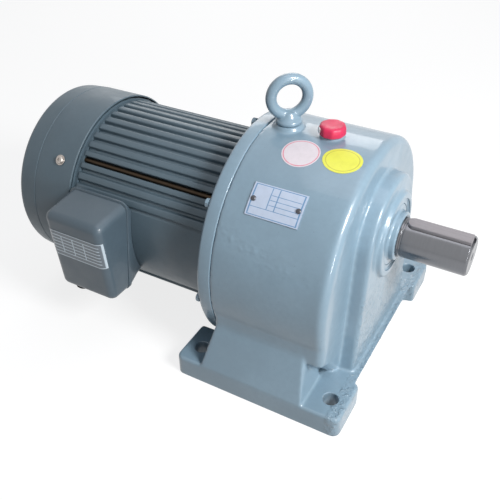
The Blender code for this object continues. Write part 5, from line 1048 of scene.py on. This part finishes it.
def base_section(share, side_inset, low_inset, top_inset, radius=10.0):
    """The base's rounded outline at a share of the way from the parting plane to the motor."""
    half = BOX_HALF - side_inset - radius
    low_z = BASE_LOW.z + low_inset + radius
    high_z = BASE_HIGH.z - top_inset - radius
    left = BOX_CENTRE_X - half
    right = BOX_CENTRE_X + half
    placed = []
    for x, z, start in ((right, low_z, -90), (right, high_z, 0), (left, high_z, 90), (left, low_z, 180)):
        for along, height in arc((x, z), radius, start, start + 90, 8):
            rim_y = parting_y(height) + GAP
            placed.append((along, rim_y + (BASE_HIGH.y - rim_y) * share, height))
    return placed


def build_terminal_base():
    """The funnel-shaped base between the hood and the motor."""
    base = loft("terminal_base_funnel", [
        base_section(0.0, 0.2, 0.8, 0.8),
        base_section(0.03, -0.6, 0.0, 0.0, 10.6),
        base_section(0.15, -0.6, 0.0, 0.0, 10.6),
        base_section(0.18, 0.4, 1.0, 1.0),
        base_section(0.34, 0.8, 2.5, 3.0),
        base_section(0.52, 1.4, 4.5, 6.0),
        base_section(0.70, 2.0, 6.5, 10.0),
        base_section(1.0, 2.6, 8.0, 12.0),
    ])
    pocket = loft("pocket", [
        base_section(0.9, BOX_WALL + 5.0, 20.0, 20.0, 7.0),
        base_section(-0.1, BOX_WALL, 4.0, 4.0, 7.0),
    ])
    boolean(base, pocket)
    boolean(base, rod("saddle", (FRAME_LOW.x - 50.0, 0.0, MOTOR_Z), 0.0, 300.0, PANEL_R + 0.6, ROUND))
    finish_piece(base, "motor_paint", "box_paint", ("terminal_box_base",))


def build_entry_plug():
    """The blanking plug under the hood."""
    low, high = node_box("cable_entry_plug")
    middle = node_middle("cable_entry_plug")
    depth = low.z - high.z
    plug = lathe_on("entry_blanking_plug", [
        (depth + 2.2, 6.0),
        (depth + 2.2, 12.0, 1.2),
        (depth + 4.0, 12.0, 0.4),
        (depth + 4.0, PLUG_R),
        (0.0, PLUG_R, 0.5),
        (0.0, 6.0),
    ], (middle.x, middle.y, high.z), UPWARD)
    finish_piece(plug, "rubber", replaced=("cable_entry_plug",))


def label_material(name, back, ink, lines, border, half, metallic=0.0, roughness=0.4, oval=False):
    """A blank printed label in its own X and Y: plain field, border and ruled lines, with no lettering."""
    finish = Finish(name, metallic=metallic, coat=0.3, coat_roughness=0.15)
    x = finish.sum("DIVIDE", finish.axis("X"), half[0] * MM)
    y = finish.sum("DIVIDE", finish.axis("Y"), half[1] * MM)
    if oval:
        edge = finish.sum("SQRT", finish.sum("ADD", finish.times(x, x), finish.times(y, y)))
    else:
        edge = finish.sum("MAXIMUM", finish.sum("ABSOLUTE", x), finish.sum("ABSOLUTE", y))
    marks = finish.band(edge, border - 0.05, border)
    for axis, place, width, low, high in lines:
        along = x if axis == "x" else y
        other = y if axis == "x" else x
        off_line = finish.sum("ABSOLUTE", finish.sum("SUBTRACT", along, place))
        stripe = finish.span(off_line, width, width + 0.015, 1.0, 0.0, soft=False)
        marks = finish.sum("MAXIMUM", marks, finish.times(stripe, finish.band(other, low, high)))
    wear = finish.noise(120.0, 3.0, 0.6)
    field = finish.mix(finish.span(wear, 0.35, 0.75, 0.0, 0.5), back, shade(back, 0.86))
    printed = finish.mix(finish.times(marks, finish.span(wear, 0.2, 0.5, 0.55, 0.95)), field, ink)
    finish.bump(finish.noise(300.0, 2.0, 0.5), 0.1, 0.05)
    return finish.done(printed, roughness)


LABEL_LIFT = 0.12


def patch_on(name, half, columns, rows, matrix, surface, thickness, oval=False):
    """A thin label that lies on a surface: its grid is dropped onto the surface from its own plane."""
    builder = bmesh.new()
    layers = []
    for level in (LABEL_LIFT, LABEL_LIFT + thickness):
        grid = []
        for row in range(rows + 1):
            line = []
            for column in range(columns + 1):
                u = 2.0 * column / columns - 1.0
                v = 2.0 * row / rows - 1.0
                if oval:
                    u, v = u * math.sqrt(1.0 - v * v / 2.0), v * math.sqrt(1.0 - u * u / 2.0)
                point = surface(u * half[0], v * half[1], level)
                line.append(builder.verts.new(matrix.inverted() @ point))
            grid.append(line)
        layers.append(grid)
    low, high = layers
    for row in range(rows):
        for column in range(columns):
            builder.faces.new((high[row][column], high[row][column + 1], high[row + 1][column + 1],
                               high[row + 1][column]))
            builder.faces.new((low[row][column], low[row + 1][column], low[row + 1][column + 1],
                               low[row][column + 1]))
    rim = [(0, c) for c in range(columns)] + [(r, columns) for r in range(rows)]
    rim += [(rows, c) for c in range(columns, 0, -1)] + [(r, 0) for r in range(rows, 0, -1)]
    for index, (row, column) in enumerate(rim):
        after_row, after_column = rim[(index + 1) % len(rim)]
        builder.faces.new((low[row][column], low[after_row][after_column], high[after_row][after_column],
                           high[row][column]))
    item = mesh_object(name, builder, 50.0)
    placed = matrix.copy()
    placed.translation *= MM
    item.matrix_world = placed
    return item


def placed_axes(along, outward, place):
    """Local axes of a label: its X, its Y at a right angle to both, and Z outwards."""
    axes = Matrix((along, outward.cross(along), outward)).transposed().to_4x4()
    axes.translation = place
    return axes


def case_patch(name, x, degrees, half, columns, rows, thickness, oval=False):
    """A label on the round of the case, at an angle from +Y towards +Z."""
    middle = math.radians(degrees)
    outward = Vector((0.0, math.cos(middle), math.sin(middle)))
    place = (x, outward.y * CASE_R, MOTOR_Z + outward.z * CASE_R)

    def surface(u, v, level):
        angle = middle - v / CASE_R
        reach = CASE_R + level
        return Vector((x + u, reach * math.cos(angle), MOTOR_Z + reach * math.sin(angle)))

    axes = placed_axes(Vector(ALONG), outward, place)
    return patch_on(name, half, columns, rows, axes, surface, thickness, oval)


def build_case_labels():
    """The nameplate with its rivets, and two blank oval stickers."""
    white = ((0.70, 0.64, 0.68), (0.66, 0.16, 0.24), 0.93)
    yellow = ((0.74, 0.74, 0.07), (0.50, 0.47, 0.05), 0.86)
    for name, x, degrees, half, (back, ink, border) in (
        ("white_oval_sticker", SEAM_X + 57.0, 106.0, (21.0, 20.0), white),
        ("yellow_oval_sticker", SEAM_X + 102.5, 104.3, (21.5, 18.0), yellow),
    ):
        sticker = case_patch(name, x, degrees, half, 28, 28, 0.15, True)
        LOOKS[name] = label_material(name + "_print", back, ink, (), border, half, oval=True)
        finish_piece(sticker, "case_paint", name)

    half = ((PLATE_HIGH.x - PLATE_LOW.x) / 2, 18.0)
    middle = (PLATE_LOW + PLATE_HIGH) / 2
    degrees = math.degrees(math.atan2(middle.z - MOTOR_Z, middle.y))
    plate = case_patch("nameplate_sheet", (PLATE_LOW.x + PLATE_HIGH.x) / 2, degrees, half, 30, 18, 1.0)
    rules = [("y", place, 0.012, -0.25, 0.88) for place in (0.45, 0.15, -0.15)]
    rules.append(("y", -0.45, 0.012, -0.9, 0.88))
    rules += [("x", -0.28, 0.010, -0.45, 0.88), ("x", 0.0, 0.012, -0.45, 0.88)]
    LOOKS["nameplate_print"] = label_material(
        "nameplate_print", (0.50, 0.58, 0.72), (0.12, 0.26, 0.46), rules, 0.94, half, 0.35, 0.35)
    finish_piece(plate, "plate_aluminium", "nameplate_print", ("nameplate",))
    for number in (1, 2):
        node = f"nameplate_rivet_{number}"
        centre = node_middle(node)
        outward = Vector((0.0, centre.y, centre.z - MOTOR_Z)).normalized()
        foot = Vector((centre.x, 0.0, MOTOR_Z)) + outward * (CASE_R + 1.2)
        rivet = lathe_on(f"nameplate_drive_rivet_{number}", [
            (-5.0, 1.2),
            (-4.6, 1.7),
            (0.3, 1.7),
            (0.3, 2.9, 0.2),
            (0.8, 2.9, 0.2),
            (1.7, 2.0, 1.0),
            (2.0, 0.6),
        ], foot, outward, 28)
        finish_piece(rivet, "plate_aluminium", "rivet_steel", (node,))


def build_box_label(cover):
    """The blank rating label on the hood's front, wrapped round its two upright corners."""
    tree = BVHTree.FromObject(cover, bpy.context.evaluated_depsgraph_get())
    tilt = math.atan2(BOX_LEAN, BOX_TOP_FRONT_Z - BOX_LOW.z)
    up = Vector((0.0, -math.sin(tilt), math.cos(tilt)))
    outward = Vector((0.0, -math.cos(tilt), -math.sin(tilt)))
    along = Vector(ALONG)
    middle_z = 142.5
    middle_y = BOX_FRONT_Y + BOX_LEAN * (BOX_TOP_FRONT_Z - middle_z) / (BOX_TOP_FRONT_Z - BOX_LOW.z)
    middle = Vector((BOX_CENTRE_X, middle_y, middle_z))
    half = (41.0, 19.0)
    printed = (40.9, 19.0)
    offset = 1.0
    flat = BOX_HALF - BOX_DRAFT - BOX_CORNER

    def surface(u, v, level):
        side = math.copysign(1.0, u + offset)
        bend = max(0.0, abs(u + offset) - flat) / BOX_CORNER
        turn = min(bend, math.pi / 2)
        beyond = (bend - turn) * BOX_CORNER
        direction = outward * math.cos(turn) + along * side * math.sin(turn)
        root = middle + along * side * min(abs(u + offset), flat) + up * v - outward * (BOX_CORNER + beyond)
        place, normal, _, _ = tree.ray_cast((root + direction * (BOX_CORNER + 12.0)) * MM, -direction)
        if place is None:
            return root + direction * BOX_CORNER
        return (place + normal * level * MM) / MM

    axes = placed_axes(along, outward, middle + along * offset)
    label = patch_on("rating_label", half, 80, 16, axes, surface, 0.15)
    rules = [("y", place, 0.022, -0.86, 0.84) for place in (0.66, 0.40, 0.14, -0.12, -0.38, -0.64)]
    rules += [("x", place, 0.008, -0.64, 0.66) for place in (-0.5, -0.1, 0.3)]
    LOOKS["rating_print"] = label_material(
        "rating_print", (0.15, 0.18, 0.21), (0.58, 0.68, 0.75), rules, 0.96, printed, 0.2, 0.35)
    finish_piece(label, "motor_paint", "rating_print")


def build_eye_bolt():
    """Forged lifting eye, its ring melting into the collar."""
    turn = math.radians(42.0)
    bar = 6.2
    ring_r = 20.6
    seat = (EYE_X, 0.0, CASE_HIGH.z + GAP)
    across = Vector((math.cos(turn), math.sin(turn), 0.0))
    facing = Vector((-math.sin(turn), math.cos(turn), 0.0))
    centre = Vector((EYE_X, 0.0, EYE_HIGH.z - ring_r - bar))
    rings = []
    around = 96
    sides = 28
    for step in range(around):
        angle = 2 * math.pi * step / around
        out = across * math.cos(angle) + Vector(UPWARD) * math.sin(angle)
        ring = []
        for side in range(sides):
            roll = 2 * math.pi * side / sides
            ring.append(centre + out * (ring_r + bar * math.cos(roll)) + facing * bar * math.sin(roll))
        rings.append(ring)
    torus = loft("torus", rings, True)
    neck = lathe_on("neck", [
        (0.0, 4.0),
        (0.0, 15.0, 1.6),
        (4.2, 15.0, 2.6),
        (7.5, 10.5, 3.0),
        (13.5, 7.0),
        (13.5, 1.0),
    ], seat, UPWARD, 64, 5)
    eye = cast(gathered("lifting_eye", [torus, neck]), FINE_VOXEL, 5)
    shank = [(-9.0, 4.0), (-9.0, EYE_SHANK_R, 1.0), (3.0, EYE_SHANK_R)]
    boolean(eye, lathe_on("shank", shank, seat, UPWARD, 32), "UNION")
    finish_piece(eye, "case_paint", replaced=("eye_bolt",))


def build_cap():
    """Moulded filler cap with soft facets, its stem and a dab of white marking paint."""
    top = CAP_HIGH.z
    radius = (CAP_HIGH.x - CAP_LOW.x) / 2
    facets = 9
    outline = []
    for index in range(facets):
        angle = 2 * math.pi * (index + 0.3) / facets
        outline.append((radius * math.cos(angle), radius * math.sin(angle), 7.0))
    outline = filleted(outline, 6, True)
    base_z = top - 11.0
    levels = [(base_z, 1.4), (base_z + 0.8, 0.4), (base_z + 3.0, 0.0), (top - 3.2, 0.3), (top - 1.6, 0.8),
              (top - 0.6, 1.8), (top - 0.1, 3.2), (top, 5.0), (top - 0.25, 7.0), (top - 0.4, 12.0)]
    sections = []
    for z, shrink in levels:
        section = []
        for x, y in outline:
            reach = math.hypot(x, y)
            section.append((CAP_X + x * (reach - shrink) / reach, y * (reach - shrink) / reach, z))
        sections.append(section)
    cap = loft("filler_cap_head", sections)
    depth = CAP_LOW.z - base_z
    stem = [(depth, 7.6), (depth, CAP_STEM_R, 0.8), (2.0, CAP_STEM_R)]
    boolean(cap, lathe_on("stem", stem, (CAP_X, 0.0, base_z), UPWARD, 40), "UNION")
    finish_piece(cap, "cap_plastic", replaced=("oil_filler_cap",))
    outward = Vector((-0.80, -0.60, 0.0))
    place = Vector((CAP_X, 0.0, base_z + 5.2)) + outward * (radius - 1.4)
    dab = lathe_on("filler_cap_white_dab", [
        (-1.0, 3.0),
        (0.4, 4.0, 0.4),
        (1.0, 3.4, 0.6),
        (1.5, 2.0, 0.6),
        (1.6, 0.6),
    ], place, outward, 32)
    finish_piece(dab, "cap_plastic", "white_dab")


def key_bar(name, start, end, low, high, half, turn, both_round=False, bevel=0.0):
    """A bar on the output shaft's side with one or both ends round, turned about the shaft."""
    outline = arc((start + half, 0.0), half, 90, 270, 16)
    outline += arc((end - half, 0.0), half, -90, 90, 16) if both_round else [(end, -half), (end, half)]
    levels = [(outline, low), (outline, high - bevel)]
    if bevel:
        levels.append((inset(outline, bevel), high))
    bar = loft(name, [[(x, y, z) for x, y in points] for points, z in levels])
    bar.data.transform(Matrix.Translation((0, 0, OUTPUT_Z * MM)) @ Matrix.Rotation(turn, 4, "X"))
    return bar


def build_output_shaft():
    """Ground shaft end with its key slot, key and the painted seal nose round it."""
    tip = SHAFT_HIGH.x
    radius = 22.5
    seal_front = SEAL_HIGH.x
    shaft = turned("output_shaft_ground", [
        (SHAFT_LOW.x, 0.0),
        (SHAFT_LOW.x, 20.0, 1.0),
        (SEAM_X + 56.0, 20.0),
        (SEAM_X + 56.0, 27.0),
        (SEAM_X + 89.3, 27.0),
        (SEAM_X + 89.3, 31.0, 1.0),
        (SEAM_X + 121.7, 31.0, 1.0),
        (SEAM_X + 121.7, 25.0),
        (SEAM_X + 142.3, 25.0),
        (SEAM_X + 142.3, radius),
        (seal_front + 2.2, radius, 0.2),
        (seal_front + 2.6, radius - 0.7, 0.2),
        (seal_front + 4.4, radius - 0.7, 0.2),
        (seal_front + 4.8, radius, 0.2),
        (tip - 2.0, radius, 0.3),
        (tip, radius - 2.0, 0.3),
        (tip, 4.5, 0.2),
        (tip - 4.0, 0.8),
        (tip - 4.0, 0.0),
    ], OUTPUT_Z)
    key_low, key_high = node_box("output_key")
    turn = math.radians(8.0)
    half = 7.0
    seat = radius - 5.5
    slot_start = key_low.x - GAP
    boolean(shaft, key_bar("slot", slot_start, tip + 20.0, seat - GAP, radius + 3.0, half + GAP, turn))
    boolean(shaft, key_bar("slot", SEAM_X + 62.2, SEAM_X + 87.8, 21.2, 30.0, half + GAP, 0.0, True))
    finish_piece(shaft, "shaft_steel", replaced=("output_shaft",), body="output")
    key = key_bar("output_key_bar", key_low.x, key_high.x, seat, seat + 9.0, half, turn, bevel=0.6)
    finish_piece(key, "shaft_steel", "key_steel", ("output_key",), "output")

    face = seal_front - 8.0
    seal = turned("oil_seal_nose", [
        (SEAL_LOW.x, 22.8),
        (SEAL_LOW.x, 36.0, 0.5),
        (face, 36.0, 1.2),
        (face, 30.0, 1.0),
        (face + 2.0, 28.5, 1.0),
        (seal_front - 1.0, 28.0, 1.4),
        (seal_front, 26.0, 1.0),
        (seal_front, 24.6, 0.4),
        (seal_front - 2.0, 22.8, 0.2),
    ], OUTPUT_Z, 128, closed=True)
    finish_piece(seal, "case_paint", replaced=("oil_seal",))


AMBIENT = 0.20
FLOOR_GLOW = 0.80
SOFT_SPECULAR = 0.15
KEY_LIGHT = 18.0
EDGE_LIGHT = 5.5
TOP_LIGHT = 5.0
BACK_LIGHT = 9.0
LIGHT_TARGET = (0.0, 0.0, 0.13)
FLOOR_REACH = 6000.0
FLOOR_Z = -0.4


def light(name, direction, distance, size, energy, colour=(1.0, 1.0, 1.0)):
    """A rectangular soft light that looks at the motor, from a distance in metres."""
    data = bpy.data.lights.new(name, "AREA")
    data.shape = "RECTANGLE"
    data.size, data.size_y = size
    data.energy = energy
    data.color = colour
    item = linked(name, data)
    target = Vector(LIGHT_TARGET)
    item.location = target + Vector(direction).normalized() * distance
    item.rotation_euler = (target - item.location).to_track_quat("-Z", "Y").to_euler()
    return item


def build_studio():
    """White floor and background that the camera sees as white, soft lights and the floor's faint shadow."""
    world = bpy.data.worlds.new("studio")
    bpy.context.scene.world = world
    world.use_nodes = True
    tree = world.node_tree
    background = tree.nodes["Background"]
    background.inputs["Color"].default_value = (0.84, 0.90, 0.97, 1.0)
    background.inputs["Strength"].default_value = AMBIENT
    white = tree.nodes.new("ShaderNodeBackground")
    white.inputs["Color"].default_value = (1.0, 1.0, 1.0, 1.0)
    white.inputs["Strength"].default_value = 1.0
    path = tree.nodes.new("ShaderNodeLightPath")
    seen = path.outputs["Is Camera Ray"]
    for socket in ("Is Glossy Ray", "Is Transmission Ray"):
        either = tree.nodes.new("ShaderNodeMath")
        either.operation = "MAXIMUM"
        tree.links.new(seen, either.inputs[0])
        tree.links.new(path.outputs[socket], either.inputs[1])
        seen = either.outputs[0]
    mixer = tree.nodes.new("ShaderNodeMixShader")
    tree.links.new(seen, mixer.inputs[0])
    tree.links.new(background.outputs[0], mixer.inputs[1])
    tree.links.new(white.outputs[0], mixer.inputs[2])
    tree.links.new(mixer.outputs[0], tree.nodes["World Output"].inputs["Surface"])

    builder = bmesh.new()
    corners = []
    for x, y in ((-1, -1), (1, -1), (1, 1), (-1, 1)):
        corners.append(builder.verts.new((x * FLOOR_REACH, y * FLOOR_REACH, FLOOR_Z)))
    builder.faces.new(corners)
    floor = mesh_object("studio_floor", builder)
    finish = Finish("studio_white", specular=0.0)
    path = finish.tree.nodes.new("ShaderNodeLightPath")
    seen = finish.sum("MAXIMUM", path.outputs["Is Camera Ray"], path.outputs["Is Glossy Ray"])
    glow = finish.times(seen, FLOOR_GLOW)
    finish.feed(finish.shader, {"Emission Color": (1.0, 1.0, 1.0), "Emission Strength": glow})
    floor.data.materials.append(finish.done((0.26, 0.26, 0.26), 0.9))

    light("key", (0.70, -0.26, 0.62), 1.3, (0.38, 0.38), KEY_LIGHT)
    light("edge", (0.84, -0.52, 0.14), 1.6, (0.16, 0.34), EDGE_LIGHT)
    for item in (
        light("top", (0.0, 0.1, 1.0), 1.7, (1.2, 1.0), TOP_LIGHT, (0.98, 0.95, 1.0)),
        light("back", (-0.5, 0.9, 0.55), 2.2, (1.2, 0.8), BACK_LIGHT),
    ):
        item.data.specular_factor = SOFT_SPECULAR


CAMERA_AZIMUTH = 0.51406
CAMERA_ELEVATION = 0.65500
CAMERA_ROLL = -0.01282
CAMERA_FOCAL = 694.56
FIT_UNIT = 1.472249
CAMERA_OFFSET = (-16.777, 3.1017, 605.831)
CAMERA_TARGET_Z = 60.0
IMAGE_SIZE = 500.0
SENSOR = 36.0


def build_camera():
    """The camera that was solved from the photograph's own points."""
    out = Vector((
        math.sin(CAMERA_AZIMUTH) * math.cos(CAMERA_ELEVATION),
        -math.cos(CAMERA_AZIMUTH) * math.cos(CAMERA_ELEVATION),
        math.sin(CAMERA_ELEVATION),
    ))
    right = Vector((math.cos(CAMERA_AZIMUTH), math.sin(CAMERA_AZIMUTH), 0.0))
    up = out.cross(right)
    cosine = math.cos(CAMERA_ROLL)
    sine = math.sin(CAMERA_ROLL)
    right, up = right * cosine + up * sine, up * cosine - right * sine
    across, rise, away = CAMERA_OFFSET
    place = (out * away + right * across + up * rise + Vector((0.0, 0.0, CAMERA_TARGET_Z))) * FIT_UNIT
    place.x += SEAM_X
    data = bpy.data.cameras.new("camera")
    data.sensor_width = SENSOR
    data.sensor_fit = "HORIZONTAL"
    data.lens = CAMERA_FOCAL * SENSOR / IMAGE_SIZE
    item = linked("camera", data)
    axes = Matrix((right, up, out)).transposed().to_4x4()
    item.matrix_world = Matrix.Translation(place * MM) @ axes
    bpy.context.scene.camera = item
    bpy.context.scene.view_settings.view_transform = "Standard"


build_camera()
dress_frame_nodes()
build_case()
build_flange()
build_motor_frame()
build_fan_cover()
terminal_cover = build_terminal_cover()
build_terminal_base()
build_entry_plug()
build_box_label(terminal_cover)
build_case_labels()
build_eye_bolt()
build_cap()
build_output_shaft()
build_studio()
